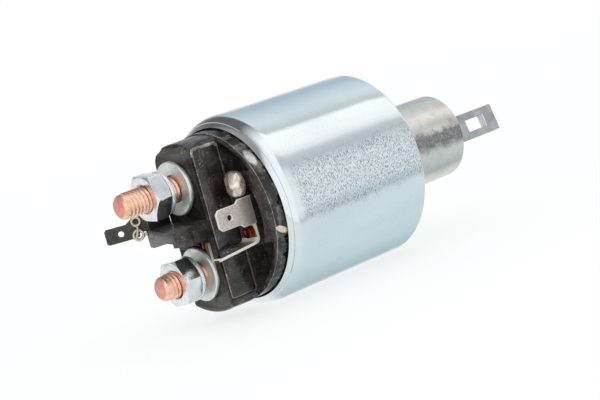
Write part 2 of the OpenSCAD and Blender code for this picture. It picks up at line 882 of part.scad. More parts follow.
// Motor strap: a leg on the ledge, a shelf along the block's side and an eye under the washer

module strap_rivet_cut() {
    bar_x(ledge_x - over, ledge_x + rivet_l, strap_rivet_y, strap_rivet_z, rivet_r + static_gap);
}

// The strap's bent length seen from the side: leg, shelf and the start of the front plate
module strap_section() {
    low_z = strap_z - strap_drop;
    leg_mid = [ledge_x - strap_t - strap_bend_r, strap_z + strap_t + strap_bend_r];
    end_mid = [block_x + strap_front_bend_r, low_z - strap_front_bend_r];
    polygon(concat(
        [[ledge_x, strap_top_z]],
        arc(leg_mid[0], leg_mid[1], strap_bend_r + strap_t, 0, -90),
        arc(end_mid[0], end_mid[1], strap_front_bend_r, 90, 180),
        [[block_x, motor_z], [block_x - strap_t, motor_z]],
        arc(end_mid[0], end_mid[1], strap_front_bend_r + strap_t, 180, 90),
        arc(leg_mid[0], leg_mid[1], strap_bend_r, -90, 0),
        [[ledge_x - strap_t, strap_top_z]]));
}

module motor_strap() {
    out_y = strap_out_y + fit_gap;
    lug_y = -strap_eye_r;
    color("#c4beb0")
        difference() {
            union() {
                intersection() {
                    translate([0, strap_y, 0])
                        rotate([90, 0, 0])
                            linear_extrude(strap_w)
                                strap_section();
                    translate([0, 0, motor_z])
                        linear_extrude(case_r)
                            polygon([[ledge_x + over, strap_y + over], [ledge_x + over, out_y],
                                [ledge_x - strap_t - strap_bend_r, out_y],
                                [block_x, strap_front_y], [block_x - strap_t - over, strap_front_y],
                                [block_x - strap_t - over, strap_y + over]]);
                }
                box([block_x - strap_t, strap_front_y, motor_z - over],
                    [block_x, 0, strap_z - strap_drop - strap_front_bend_r]);
                box([block_x - strap_t, lug_y, motor_z], [block_x, lug_y + strap_lug_w, strap_lug_z]);
                translate([0, 0, motor_z])
                    along_x(block_x - strap_t)
                        cylinder(h = strap_t, r = strap_eye_r);
            }
            translate([0, 0, motor_z])
                along_x(block_x - strap_t - over)
                    cylinder(h = strap_t + 2 * over, r = washer_bore_r);
            bar_x(ledge_x - strap_t - over, ledge_x + over, strap_rivet_y, strap_rivet_z, rivet_r + static_gap);
        }
}

module strap_rivet() {
    color("#a9492c")
        union() {
            bar_x(ledge_x - strap_t, ledge_x + rivet_l - fit_gap, strap_rivet_y, strap_rivet_z, rivet_r);
            bar_x(ledge_x - strap_t - strap_head_t, ledge_x - strap_t, strap_rivet_y, strap_rivet_z,
                strap_head_r);
        }
}

// Ends of the pull-in winding on the block's front face, beside the motor washer
module finish_leads() {
    x = block_x - wire_r - static_gap;
    eye_gap = washer_d / 2 + wire_r + fit_gap;
    color("#7c2f22") {
        wire([[x, block_half * 2 / 3, motor_z + eye_gap], [x, 0, motor_z + eye_gap],
            [x, -eye_gap * sin(finish_end_turn), motor_z + eye_gap * cos(finish_end_turn)]], wire_r);
        wire([[x, -eye_gap * sin(finish_far_turn), barrier_top - barrier_root_t - fit_gap - wire_r],
            [x, -eye_gap * sin(finish_near_turn), motor_z + eye_gap * cos(finish_near_turn)]], wire_r);
    }
}

// Front tab

module front_tab() {
    low_z = front_tab_z - front_tab_w / 2;
    high_z = front_tab_z + front_tab_w / 2;
    sink_z = barrier_top - root_sink;
    neck_z = barrier_top + static_gap;
    color("#5c5a54")
        union() {
            box([root_x, root_y - tab_t / 2, sink_z], [root_x + root_l, root_y + tab_t / 2, root_top_z]);
            translate([root_x + tab_t / 2, root_y, 0])
                rotate([0, 0, 180 - front_tab_turn])
                    difference() {
                        translate([0, tab_t / 2, 0])
                            rotate([90, 0, 0])
                                linear_extrude(tab_t)
                                    polygon([[0, neck_z], [front_tab_l / 4, neck_z],
                                        [front_tab_l / 3, low_z],
                                        [front_tab_l - tab_corner / 2, low_z],
                                        [front_tab_l, low_z + tab_corner / 2],
                                        [front_tab_l, high_z - tab_corner / 2],
                                        [front_tab_l - tab_corner / 2, high_z],
                                        [front_tab_l / 2, high_z], [front_tab_l / 3, root_top_z],
                                        [0, root_top_z]]);
                        translate([front_tab_l - front_tab_w * front_hole_share, -over, front_tab_z])
                            rotate([-90, 0, 0])
                                cylinder(h = tab_t + 2 * over, r = tab_hole_d / 2, $fn = 48);
                    }
        }
}

// Tinned wire looped round the front tab's neck
module front_tab_wire() {
    low_z = front_tab_z - front_tab_w / 2 - static_gap;
    high_z = root_top_z + static_gap;
    loop_h = high_z - low_z;
    loop_w = tab_t + 2 * static_gap;
    color("#cfc9b0")
        translate([root_x + tab_t / 2, root_y, 0])
            rotate([0, 0, 180 - front_tab_turn])
                translate([front_tab_l / 4, 0, low_z + loop_h / 2])
                    rotate([0, 90, 0])
                        linear_extrude(2 * wire_r, center = true)
                            difference() {
                                square([loop_h + 4 * wire_r, loop_w + 4 * wire_r], center = true);
                                square([loop_h, loop_w], center = true);
                            }
}

// Plunger and link

module plunger() {
    in_x = plunger_x;
    color("#a7a29a")
        turned([[0, pocket_x], [pocket_r, pocket_x], [pocket_r, in_x],
            [plunger_r - plunger_edge, in_x], [plunger_r, in_x + plunger_edge],
            [plunger_r, plunger_out - plunger_edge], [plunger_r - plunger_edge, plunger_out],
            [crimp_r, plunger_out], [crimp_r, retainer_end_x], [link_bore_r, retainer_end_x],
            [link_bore_r, bore_x], [0, bore_x]]);
}

// Turns and shifts the link's parts to the place of its flat
module on_link() {
    rotate([-link_roll, 0, 0])
        translate([0, 0, -link_off])
            children();
}

module link() {
    color("#b7b4ad")
        on_link()
            difference() {
                box([head_end_x, -link_t / 2, -link_w / 2], [link_end_x, link_t / 2, link_w / 2]);
                box([slot_end_x - slot_l, -link_t, -slot_w / 2], [slot_end_x, link_t, slot_w / 2]);
            }
}

module link_head() {
    color("#8f9194")
        ring_x(head_x, head_end_x, link_bore_r - seat_gap, 0);
}

module link_retainer() {
    color("#9da1a4")
        difference() {
            ring_x(retainer_x, retainer_end_x, link_bore_r - static_gap, 0);
            on_link()
                box([retainer_x - over, -link_t / 2 - seat_gap, -link_w / 2 - seat_gap],
                    [retainer_end_x + over, link_t / 2 + seat_gap, link_w / 2 + seat_gap]);
        }
}

link_spring_r = link_bore_r - seat_gap - link_wire_d / 2;
return_spring_r = pocket_r - seat_gap - return_wire_d / 2;

module link_spring() {
    color("#6f7276")
        coil(head_end_x + static_gap, retainer_x - static_gap, link_spring_r, link_wire_d, link_coils);
}

module return_spring() {
    color("#6f7276")
        coil(plug_pocket_x + static_gap, pocket_x - static_gap, return_spring_r, return_wire_d,
            return_coils);
}

// Contact

module contact_rod() {
    color("#b9bcbf")
        turned([[0, rod_in_x], [rod_r - clip_groove, rod_in_x], [rod_r, rod_in_x - clip_groove],
            [rod_r, rod_collar_x], [rod_collar_r, rod_collar_x], [rod_collar_r, rod_collar_end_x],
            [rod_r, rod_collar_end_x], [rod_r, bush_out_x], [rod_r - clip_groove, bush_out_x],
            [rod_r - clip_groove, clip_x], [rod_r, clip_x], [rod_r, rod_out_x + clip_groove],
            [rod_r - clip_groove, rod_out_x], [0, rod_out_x]]);
}

module rod_sleeve() {
    color("#d8d2bd")
        turned([[rod_r + static_gap, sleeve_x], [bush_r, sleeve_x], [bush_r, bridge_in_x],
            [sleeve_r, bridge_in_x], [sleeve_r, bridge_out_x], [rod_r + static_gap, bridge_out_x]]);
}

module rod_bush() {
    color("#d8d2bd")
        ring_x(bush_out_x, bridge_out_x, bush_r, rod_r + static_gap);
}

module contact_bridge() {
    color("#c9713f")
        difference() {
            box([bridge_out_x, -bridge_w / 2, -bridge_l / 2], [bridge_in_x, bridge_w / 2, bridge_l / 2]);
            along_x(bridge_out_x - over)
                cylinder(h = bridge_t + 2 * over, r = sleeve_r + static_gap);
        }
}

module rod_clip() {
    color("#5b5e61")
        difference() {
            ring_x(clip_x, bush_out_x, rod_r + insulator_wall, rod_r - clip_groove + static_gap);
            box([clip_x - over, 0, -rod_r / 2], [bush_out_x + over, 2 * rod_r, rod_r / 2]);
        }
}

over_spring_r = rod_r + fit_gap + over_wire_d / 2;
contact_spring_r = contact_pocket_r - fit_gap - contact_wire_d / 2;

module overtravel_spring() {
    color("#6f7276")
        coil(sleeve_x + static_gap, rod_collar_end_x - static_gap, over_spring_r + fit_gap, over_wire_d,
            over_coils);
}

module contact_spring() {
    color("#6f7276")
        coil(contact_pocket_x + static_gap, bush_out_x - static_gap, contact_spring_r, contact_wire_d,
            contact_coils);
}

echo(str("least gap in link_spring ", coil_gap(head_end_x, retainer_x, link_spring_r, link_wire_d,
    link_coils)));
echo(str("least gap in return_spring ", coil_gap(plug_pocket_x, pocket_x, return_spring_r,
    return_wire_d, return_coils)));
echo(str("least gap in contact_spring ", coil_gap(contact_pocket_x, bush_out_x, contact_spring_r,
    contact_wire_d, contact_coils)));
echo(str("least gap in overtravel_spring ", coil_gap(sleeve_x, rod_collar_end_x, over_spring_r,
    over_wire_d, over_coils)));
echo(str("contact travel ", contact_travel, " ratio ", contact_travel / plunger_travel));

case_shell();
guide_tube();
coil_bobbin();
pull_in_winding();
hold_in_winding();
winding_wrap();
core_plate();
core_plug();
cap_gasket();
terminal_cap();
battery_stud();
motor_stud();
battery_flat_washers();
motor_flat_washer();
battery_spring_washer();
motor_spring_washer();
battery_nut();
motor_nut();
side_tab();
side_tab_rivet();
side_tab_solder();
start_lead();
motor_strap();
strap_rivet();
finish_leads();
front_tab();
front_tab_wire();
plunger();
return_spring();
link();
link_head();
link_spring();
link_retainer();
contact_rod();
rod_sleeve();
rod_bush();
contact_bridge();
overtravel_spring();
rod_clip();
contact_spring();
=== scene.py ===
import math

import bpy
import bmesh
from mathutils import Matrix, Vector, noise


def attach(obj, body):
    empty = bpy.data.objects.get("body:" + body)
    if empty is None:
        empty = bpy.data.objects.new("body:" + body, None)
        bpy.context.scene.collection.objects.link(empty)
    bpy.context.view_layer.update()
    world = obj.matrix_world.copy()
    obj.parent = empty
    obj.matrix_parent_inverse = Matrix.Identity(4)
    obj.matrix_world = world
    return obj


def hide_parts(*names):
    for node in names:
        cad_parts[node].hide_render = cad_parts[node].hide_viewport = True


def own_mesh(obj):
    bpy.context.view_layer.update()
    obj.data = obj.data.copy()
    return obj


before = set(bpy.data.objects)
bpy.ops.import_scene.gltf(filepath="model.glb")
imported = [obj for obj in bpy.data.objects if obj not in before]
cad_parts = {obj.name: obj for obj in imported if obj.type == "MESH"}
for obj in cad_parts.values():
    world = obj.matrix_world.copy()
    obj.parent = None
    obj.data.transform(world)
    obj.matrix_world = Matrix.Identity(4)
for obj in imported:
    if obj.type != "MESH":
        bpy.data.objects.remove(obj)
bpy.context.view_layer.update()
scene = bpy.context.scene
mm = 0.001  # every length below is in millimetres
print("frame loaded:", len(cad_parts), "CAD nodes")


# camera: solved from the case's own edges in the photograph
cameraView = dict(place=(-314.93, -369.06, 57.34), right=(0.7390, -0.6200, -0.2640),
                  up=(0.2867, -0.0652, 0.9559), forward=(0.6097, 0.7820, -0.1296), lens=91.235)


def setCamera():
    data = bpy.data.cameras.new("photoCamera")
    data.lens = cameraView["lens"]
    data.sensor_fit = "HORIZONTAL"
    data.sensor_width = 36
    data.clip_start = 0.01
    camera = bpy.data.objects.new("photoCamera", data)
    scene.collection.objects.link(camera)
    turn = Matrix((cameraView["right"], cameraView["up"], -Vector(cameraView["forward"]))).transposed()
    camera.matrix_world = Matrix.Translation(Vector(cameraView["place"]) * mm) @ turn.normalized().to_4x4()
    scene.camera = camera


setCamera()
scene.view_settings.view_transform = "Standard"
print("camera set")


# node helpers
def hexColour(code):
    # sRGB hex to the linear colour that sockets want
    parts = [int(code[i:i + 2], 16) / 255 for i in (1, 3, 5)]
    return tuple(c / 12.92 if c <= 0.04045 else ((c + 0.055) / 1.055) ** 2.4 for c in parts) + (1.0,)


def dress(tree, node, sockets):
    # a node stands for its first live output, and a hex word for its colour
    for name, value in sockets.items():
        if isinstance(value, bpy.types.Node):
            value = next(out for out in value.outputs if out.enabled)
        if isinstance(value, bpy.types.NodeSocket):
            tree.links.new(value, node.inputs[name])
        else:
            node.inputs[name].default_value = hexColour(value) if isinstance(value, str) else value


def addNode(tree, kind, inputs=None, **settings):
    node = tree.nodes.new(kind)
    for name, value in settings.items():
        setattr(node, name, value)
    dress(tree, node, inputs or {})
    return node


def setStops(ramp, stops):
    # stops are (place, linear colour or grey)
    band = ramp.color_ramp
    while len(band.elements) < len(stops):
        band.elements.new(1.0)
    for element, (place, tone) in zip(band.elements, stops):
        element.position = place
        element.color = (*tone, 1.0) if isinstance(tone, tuple) else (tone, tone, tone, 1.0)


def aroundAxis(tree, place):
    # a place's parts, and its angle round the relay's axis from straight up towards the camera's side
    split = addNode(tree, "ShaderNodeSeparateXYZ", {"Vector": place})
    near = addNode(tree, "ShaderNodeMath", {0: split.outputs["Y"], 1: -1.0}, operation="MULTIPLY")
    return split, addNode(tree, "ShaderNodeMath", {0: near, 1: split.outputs["Z"]}, operation="ARCTAN2")


def angleFrom(tree, turn, wander, middle):
    # how far a wandering angle is from the middle of a band, given in degrees
    off = addNode(tree, "ShaderNodeMath", {0: turn, 1: wander}, operation="ADD")
    off = addNode(tree, "ShaderNodeMath", {0: off, 1: math.radians(middle)}, operation="SUBTRACT")
    return addNode(tree, "ShaderNodeMath", {0: off}, operation="ABSOLUTE")


def mask(tree, *layers):
    # ramps multiplied together, each a value, its range, and what the two ends of the range become
    whole = None
    for value, start, stop, first, last in layers:
        ramp = addNode(tree, "ShaderNodeMapRange", {"Value": value, "From Min": start, "From Max": stop,
                                                    "To Min": first, "To Max": last})
        if whole:
            ramp = addNode(tree, "ShaderNodeMath", {0: whole, 1: ramp}, operation="MULTIPLY")
        whole = ramp
    return whole


def blend(tree, value, first, second, start=0, stop=1):
    # the second colour comes in over the first as the value goes from start to stop
    share = mask(tree, (value, start, stop, 0, 1))
    return addNode(tree, "ShaderNodeMix", {0: share, 6: first, 7: second}, data_type="RGBA")


def intoObject(bm, name):
    mesh = bpy.data.meshes.new(name)
    bm.to_mesh(mesh)
    bm.free()
    made = bpy.data.objects.new(name, mesh)
    scene.collection.objects.link(made)
    return made


# studio: one white sweep, long soft boxes overhead, a grey card on the near side
studio = dict(
    floorZ=-29.6, floorNear=-78, floorFar=700, floorSide=700, floorTone="#e0e3e5",
    # painted shadow that metal sees in the paper, by distance in front of the relay's axis: the paper's glow
    # darkens under the case
    paintedFloorShadow=[(-78, (0.64, 0.70, 0.74)), (-66, (0.82, 0.89, 0.92)), (-48, (0.81, 0.90, 0.92)),
                (-27, (0.77, 0.87, 0.90)), (-19, (0.69, 0.80, 0.83)), (-12, (0.53, 0.65, 0.69)),
                (-9, (0.50, 0.58, 0.61)), (-6.5, (0.74, 0.81, 0.83)), (-4, (0.97, 1.01, 1.01))],
    # and it is plain white again in front of the terminals
    plainFrom=-46, plainTo=-60, plainShare=0.6, plainTone=(0.95, 0.96, 0.94, 1.0),
    # reflections round the relay's axis, in degrees from straight up towards the camera's side
    caseBands=[(-180, (0.55, 0.60, 0.66)), (-122, (0.60, 0.66, 0.71)), (-108, (0.84, 0.87, 0.91)),
               (-97, (1.04, 1.04, 1.05)), (-86, (1.09, 1.07, 1.07)), (-79, 0.98), (-72, (0.70, 0.74, 0.78)),
               (-65, (0.53, 0.59, 0.65)), (-56, (0.50, 0.60, 0.67)), (-48, (0.54, 0.65, 0.72)),
               (-32, (0.69, 0.78, 0.83)), (-16, (0.83, 0.90, 0.92)), (-7, (0.79, 0.85, 0.87)),
               (0, (0.67, 0.72, 0.72)), (4, (0.70, 0.73, 0.73)), (8.5, (1.22, 1.22, 1.21)),
               (32, (1.17, 1.15, 1.13)), (38, (1.03, 1.03, 1.02)), (44, (0.68, 0.71, 0.73)),
               (52, (0.60, 0.63, 0.65)), (60, (0.83, 0.86, 0.88)), (68, (0.95, 0.97, 0.98)),
               (104, (0.98, 1.0, 1.01)), (112, (0.80, 0.84, 0.86)), (118, (0.52, 0.57, 0.60)),
               (124, (0.60, 0.66, 0.70)), (136, (0.82, 0.90, 0.93)), (180, (0.82, 0.86, 0.88))],
    # what faces that look towards the studs see instead
    endBands=[(-180, (0.85, 0.86, 0.87)), (-110, 1.0), (-85, (0.85, 0.85, 0.86)), (-68, (0.30, 0.29, 0.28)),
              (-52, (0.15, 0.145, 0.14)), (-12, (0.16, 0.155, 0.15)), (8, 0.85), (20, 1.15), (130, 1.05),
              (180, (0.85, 0.86, 0.87))],
    # and squarer to them
    faceBands=[(-180, (0.9, 0.9, 0.91)), (-110, 1.05), (-88, 0.95), (-70, (0.50, 0.49, 0.48)),
               (-52, (0.42, 0.41, 0.40)), (14, (0.34, 0.34, 0.335)), (28, (0.95, 0.96, 0.97)), (60, 1.15),
               (130, 1.05), (180, (0.9, 0.9, 0.91))],
)


def lightStudio():
    world = bpy.data.worlds.new("softStudio")
    scene.world = world
    world.use_nodes = True
    tree = world.node_tree
    tree.nodes.clear()
    coord = addNode(tree, "ShaderNodeTexCoord")
    split, turn = aroundAxis(tree, coord.outputs["Generated"])
    spot = mask(tree, (turn, -math.pi, math.pi, 0, 1))
    ramps = []
    for name in ("endBands", "caseBands", "faceBands"):
        ramps.append(addNode(tree, "ShaderNodeValToRGB", {"Fac": spot}))
        setStops(ramps[-1], [((angle + 180) / 360, tone) for angle, tone in studio[name]])
    endTone, caseTone, faceTone = ramps
    # the case's side starts further back on the near side than overhead
    border = mask(tree, (turn, 0.0, math.radians(60), 0.3, -0.25))
    past = addNode(tree, "ShaderNodeMath", {0: split.outputs["X"], 1: border}, operation="SUBTRACT")
    share = addNode(tree, "ShaderNodeMapRange", {"Value": past, "From Min": 0.0, "From Max": 0.15},
                    interpolation_type="SMOOTHSTEP")
    square = addNode(tree, "ShaderNodeMapRange", {"Value": split.outputs["X"], "From Min": -0.25,
                                                  "From Max": -0.6}, interpolation_type="SMOOTHSTEP")
    tone = blend(tree, share, blend(tree, square, endTone, faceTone), caseTone)
    # matt surfaces see a plain sky, a little brighter from above
    path = addNode(tree, "ShaderNodeLightPath")
    sky = mask(tree, (split.outputs["Z"], -1, 1, 0.72, 1.12))
    plain = addNode(tree, "ShaderNodeBackground", {"Color": "#ffffff", "Strength": sky})
    shine = addNode(tree, "ShaderNodeBackground", {"Color": tone})
    white = addNode(tree, "ShaderNodeBackground", {"Color": "#ffffff"})
    lit = addNode(tree, "ShaderNodeMixShader", {0: path.outputs["Is Glossy Ray"], 1: plain, 2: shine})
    seen = addNode(tree, "ShaderNodeMixShader", {0: path.outputs["Is Camera Ray"], 1: lit, 2: white})
    addNode(tree, "ShaderNodeOutputWorld", {"Surface": seen})


def layFloor():
    s = studio
    bm = bmesh.new()
    bmesh.ops.create_grid(bm, x_segments=1, y_segments=1, size=0.5)
    deep = s["floorFar"] - s["floorNear"]
    bmesh.ops.scale(bm, vec=(2 * s["floorSide"] * mm, deep * mm, 1), verts=bm.verts)
    bmesh.ops.translate(bm, vec=(0, (s["floorNear"] + deep / 2) * mm, s["floorZ"] * mm), verts=bm.verts)
    floor = intoObject(bm, "paperFloor")
    paper = bpy.data.materials.new("whitePaper")
    paper.use_nodes = True
    tree = paper.node_tree
    tree.nodes.clear()
    path = addNode(tree, "ShaderNodeLightPath")
    matt = addNode(tree, "ShaderNodeBsdfDiffuse", {"Color": s["floorTone"]})
    glow = addNode(tree, "ShaderNodeEmission", {"Color": "#ffffff", "Strength": 1.08})
    whiter = mask(tree, (path.outputs["Is Camera Ray"], 0, 1, 0, 0.72))
    seen = addNode(tree, "ShaderNodeMixShader", {0: whiter, 1: matt, 2: glow})
    coord = addNode(tree, "ShaderNodeTexCoord")
    split = addNode(tree, "ShaderNodeSeparateXYZ", {"Vector": coord.outputs["Object"]})
    low, high = s["paintedFloorShadow"][0][0], s["paintedFloorShadow"][-1][0]
    under = mask(tree, (split.outputs["Y"], low * mm, high * mm, 0, 1))
    ramp = addNode(tree, "ShaderNodeValToRGB", {"Fac": under})
    setStops(ramp, [((y - low) / (high - low), tone) for y, tone in s["paintedFloorShadow"]])
    before = addNode(tree, "ShaderNodeMapRange", {
        "Value": split.outputs["X"], "From Min": s["plainFrom"] * mm, "From Max": s["plainTo"] * mm,
        "To Max": s["plainShare"]}, interpolation_type="SMOOTHSTEP")
    # what mirror rays see of the paper: a glow that carries the painted shadow under the case
    paintedShadowGlow = addNode(tree, "ShaderNodeEmission", {"Color": blend(tree, before, ramp, s["plainTone"])})
    mirrored = mask(tree, (path.outputs["Is Glossy Ray"], 0, 1, 0, 0.95))
    whole = addNode(tree, "ShaderNodeMixShader", {0: mirrored, 1: seen, 2: paintedShadowGlow})
    addNode(tree, "ShaderNodeOutputMaterial", {"Surface": whole})
    floor.data.materials.append(paper)


lightStudio()
layFloor()
print("studio ready")


# finishes
def startFinish(name):
    finish = bpy.data.materials.new(name)
    finish.use_nodes = True
    tree = finish.node_tree
    tree.nodes.clear()
    shader = addNode(tree, "ShaderNodeBsdfPrincipled")
    addNode(tree, "ShaderNodeOutputMaterial", {"Surface": shader})
    coord = addNode(tree, "ShaderNodeTexCoord")
    return finish, tree, shader, coord.outputs["Object"]


def speckle(tree, place, sizeMm, detail=3.0, roughness=0.5, stretch=(1, 1, 1)):
    # noise whose grains are about sizeMm across
    mapped = addNode(tree, "ShaderNodeMapping", {"Vector": place, "Scale": stretch})
    return addNode(tree, "ShaderNodeTexNoise", {"Vector": mapped, "Scale": 1.0 / (sizeMm * mm),
                                                "Detail": detail, "Roughness": roughness})


def skin(tree, *layers):
    # relief laid over relief, each a height and its depth in millimetres
    normal = None
    for height, depthMm in layers:
        under = {"Normal": normal} if normal else {}
        normal = addNode(tree, "ShaderNodeBump", {"Height": height, "Distance": depthMm * mm, **under})
    return normal


# bright zinc on drawn steel: mirror-like, with a rougher, frosted band along the near side whose dark specks
# are a painted reflection of the mottled light seen there
def zincCase():
    finish, tree, shader, place = startFinish("brightZincPlate")
    peel = speckle(tree, place, 0.8, detail=2.0)
    cloud = speckle(tree, place, 9.0, stretch=(0.35, 1, 1))
    drawn = speckle(tree, place, 0.6, detail=2.0, stretch=(0.03, 1, 1))
    crystal = speckle(tree, place, 0.42, detail=2.0, roughness=0.65, stretch=(1.3, 0.8, 0.6))
    blotch = speckle(tree, place, 3.0, roughness=0.6)
    split, turn = aroundAxis(tree, place)
    off = angleFrom(tree, turn, mask(tree, (blotch, 0.3, 0.7, -0.05, 0.05)), 84)
    patch = mask(tree, (off, math.radians(12), math.radians(18), 1.0, 0.08),
                 (split.outputs["X"], -50.5 * mm, -48.5 * mm, 0, 1))
    # the dark specks in this band are painted reflection, not the zinc's own colour
    paintedReflectionSpecks = mask(tree, (crystal, 0.45, 0.68, 0, 1), (patch, 0, 1, 0, 1))
    colour = blend(tree, paintedReflectionSpecks, blend(tree, cloud, "#e4ebee", "#dbe4e9", 0.3, 0.7), "#7c8489")
    frost = addNode(tree, "ShaderNodeMath", {0: crystal, 1: patch}, operation="MULTIPLY")
    dress(tree, shader, {"Base Color": colour, "Metallic": 1.0,
                         "Roughness": mask(tree, (patch, 0, 1, 0.09, 0.2)),
                         "Normal": skin(tree, (peel, 0.004), (drawn, 0.0008), (frost, 0.012))})
    return finish


# moulded black phenolic: soft sheen, moulding grain, dust and rubbed grey patches; the collar is polished
def phenolicCap(name, tone, dusty, dust, speckFrom=0.66, wallShare=0.75):
    finish, tree, shader, place = startFinish(name)
    patch = speckle(tree, place, 5.0, detail=6.0, roughness=0.7)
    fine = speckle(tree, place, 0.35)
    bits = speckle(tree, place, 0.45, detail=2.0)
    film = speckle(tree, place, 2.6, roughness=0.6)
    split, turn = aroundAxis(tree, place)
    across = addNode(tree, "ShaderNodeCombineXYZ", {"Y": split.outputs["Y"], "Z": split.outputs["Z"]})
    reach = addNode(tree, "ShaderNodeVectorMath", {0: across}, operation="LENGTH").outputs["Value"]
    collar = mask(tree, (reach, 25.2 * mm, 25.9 * mm, 0, 1))
    colour = blend(tree, patch, tone, dusty, 0.42, 0.62)
    colour = blend(tree, bits, colour, dust, speckFrom + 0.02, speckFrom + 0.07)
    dustiness = mask(tree, (bits, speckFrom - 0.12, speckFrom, 0, 1), (film, 0.52, 0.66, 0.0, 0.8))
    colour = blend(tree, dustiness, colour, dust)
    # a painted highlight high on the collar's near side, where the overhead light shines, inside the unit
    # circle of these two
    sides = {}
    for axis, value, low, high in (("X", split.outputs["X"], -58.0 * mm, -54.6 * mm),
                                   ("Y", turn, math.radians(44), math.radians(58))):
        sides[axis] = addNode(tree, "ShaderNodeMapRange", {"Value": value, "From Min": low, "From Max": high,
                                                           "To Min": -1.0}, clamp=False)
    spot = addNode(tree, "ShaderNodeCombineXYZ", sides)
    away = addNode(tree, "ShaderNodeVectorMath", {0: spot}, operation="LENGTH").outputs["Value"]
    # pale painted highlight, mottled by the film
    paintedCollarHighlight = mask(tree, (away, 0.7, 1.05, 1, 0), (collar, 0, 1, 0, 1), (film, 0.35, 0.6, 0.45, 1.0))
    wall = blend(tree, film, "#151414", "#6f6e6c", 0.50, 0.66)
    colour = blend(tree, mask(tree, (collar, 0, 1, 0.0, wallShare)), colour, wall)
    gloss = addNode(tree, "ShaderNodeMix", {0: collar, 2: mask(tree, (patch, 0.3, 0.7, 0.24, 0.46)),
                                            3: mask(tree, (film, 0.3, 0.7, 0.08, 0.3))})
    dress(tree, shader, {"Base Color": blend(tree, paintedCollarHighlight, colour, "#d9d9d7"), "Roughness": gloss,
                         "Normal": skin(tree, (fine, 0.005))})
    return finish


# turned and satin-worn steel: rings from the lathe, pits where the zinc has gone
def turnedSteel(name, tone, dark, pitchMm, rough, paintedDarkReflection=None):
    finish, tree, shader, place = startFinish(name)
    rings = speckle(tree, place, pitchMm, stretch=(1, 0.02, 0.02))
    patch = speckle(tree, place, 4.0, detail=4.0)
    pits = speckle(tree, place, 0.5)
    colour = blend(tree, patch, tone, dark, 0.3, 0.75)
    if paintedDarkReflection:  # a dull darker band along one side, a painted dark reflection: its middle angle, half its width, and its tone
        middle, half, wearAndDarkBand = paintedDarkReflection
        off = angleFrom(tree, aroundAxis(tree, place)[1], mask(tree, (patch, 0.3, 0.7, -0.1, 0.1)), middle)
        band = mask(tree, (off, math.radians(half - 6), math.radians(half + 4), 1, 0),
                    (pits, 0.35, 0.6, 0.72, 1.0))
        colour = blend(tree, band, colour, wearAndDarkBand)
    dress(tree, shader, {"Base Color": colour, "Metallic": 1.0,
                         "Roughness": mask(tree, (pits, 0.3, 0.7, rough - 0.08, rough + 0.1)),
                         "Normal": skin(tree, (rings, 0.001), (pits, 0.001))})
    return finish


# a plated or bare metal: fine grain in the gloss, wider dull patches; grain, bump and patch are in mm
def plated(name, tone, dark, rough, bump, patch, grain=0.3, metal=1.0):
    finish, tree, shader, place = startFinish(name)
    dull = speckle(tree, place, patch)
    fine = speckle(tree, place, grain)
    dress(tree, shader, {"Base Color": blend(tree, dull, tone, dark, 0.35, 0.75), "Metallic": metal,
                         "Roughness": mask(tree, (fine, 0.3, 0.7, rough - 0.08, rough + 0.08)),
                         "Normal": skin(tree, (fine, bump))})
    return finish


# lacquered wire and moulded plastics: coloured body under a clear skin
def coloured(name, tone, dark, rough, grain, bump=0.004):
    finish, tree, shader, place = startFinish(name)
    patch = speckle(tree, place, grain)
    dress(tree, shader, {"Base Color": blend(tree, patch, tone, dark, 0.35, 0.65),
                         "Roughness": mask(tree, (patch, 0.3, 0.7, rough - 0.07, rough + 0.07)),
                         "Normal": skin(tree, (patch, bump))})
    return finish


# wire laid turn by turn: ridges one wire apart along the axis
def wound(name, tone, dark, wireMm):
    finish, tree, shader, place = startFinish(name)
    wave = addNode(tree, "ShaderNodeTexWave", {"Vector": place, "Scale": 0.314 / (wireMm * mm),
                                               "Distortion": 0.4, "Detail": 1.0}, bands_direction="X")
    wave = wave.outputs["Fac"]
    dress(tree, shader, {"Base Color": blend(tree, wave, dark, tone, 0.2, 0.8), "Metallic": 0.85,
                         "Roughness": mask(tree, (wave, 0.3, 0.7, 0.45, 0.25)),
                         "Normal": skin(tree, (wave, 0.12))})
    return finish


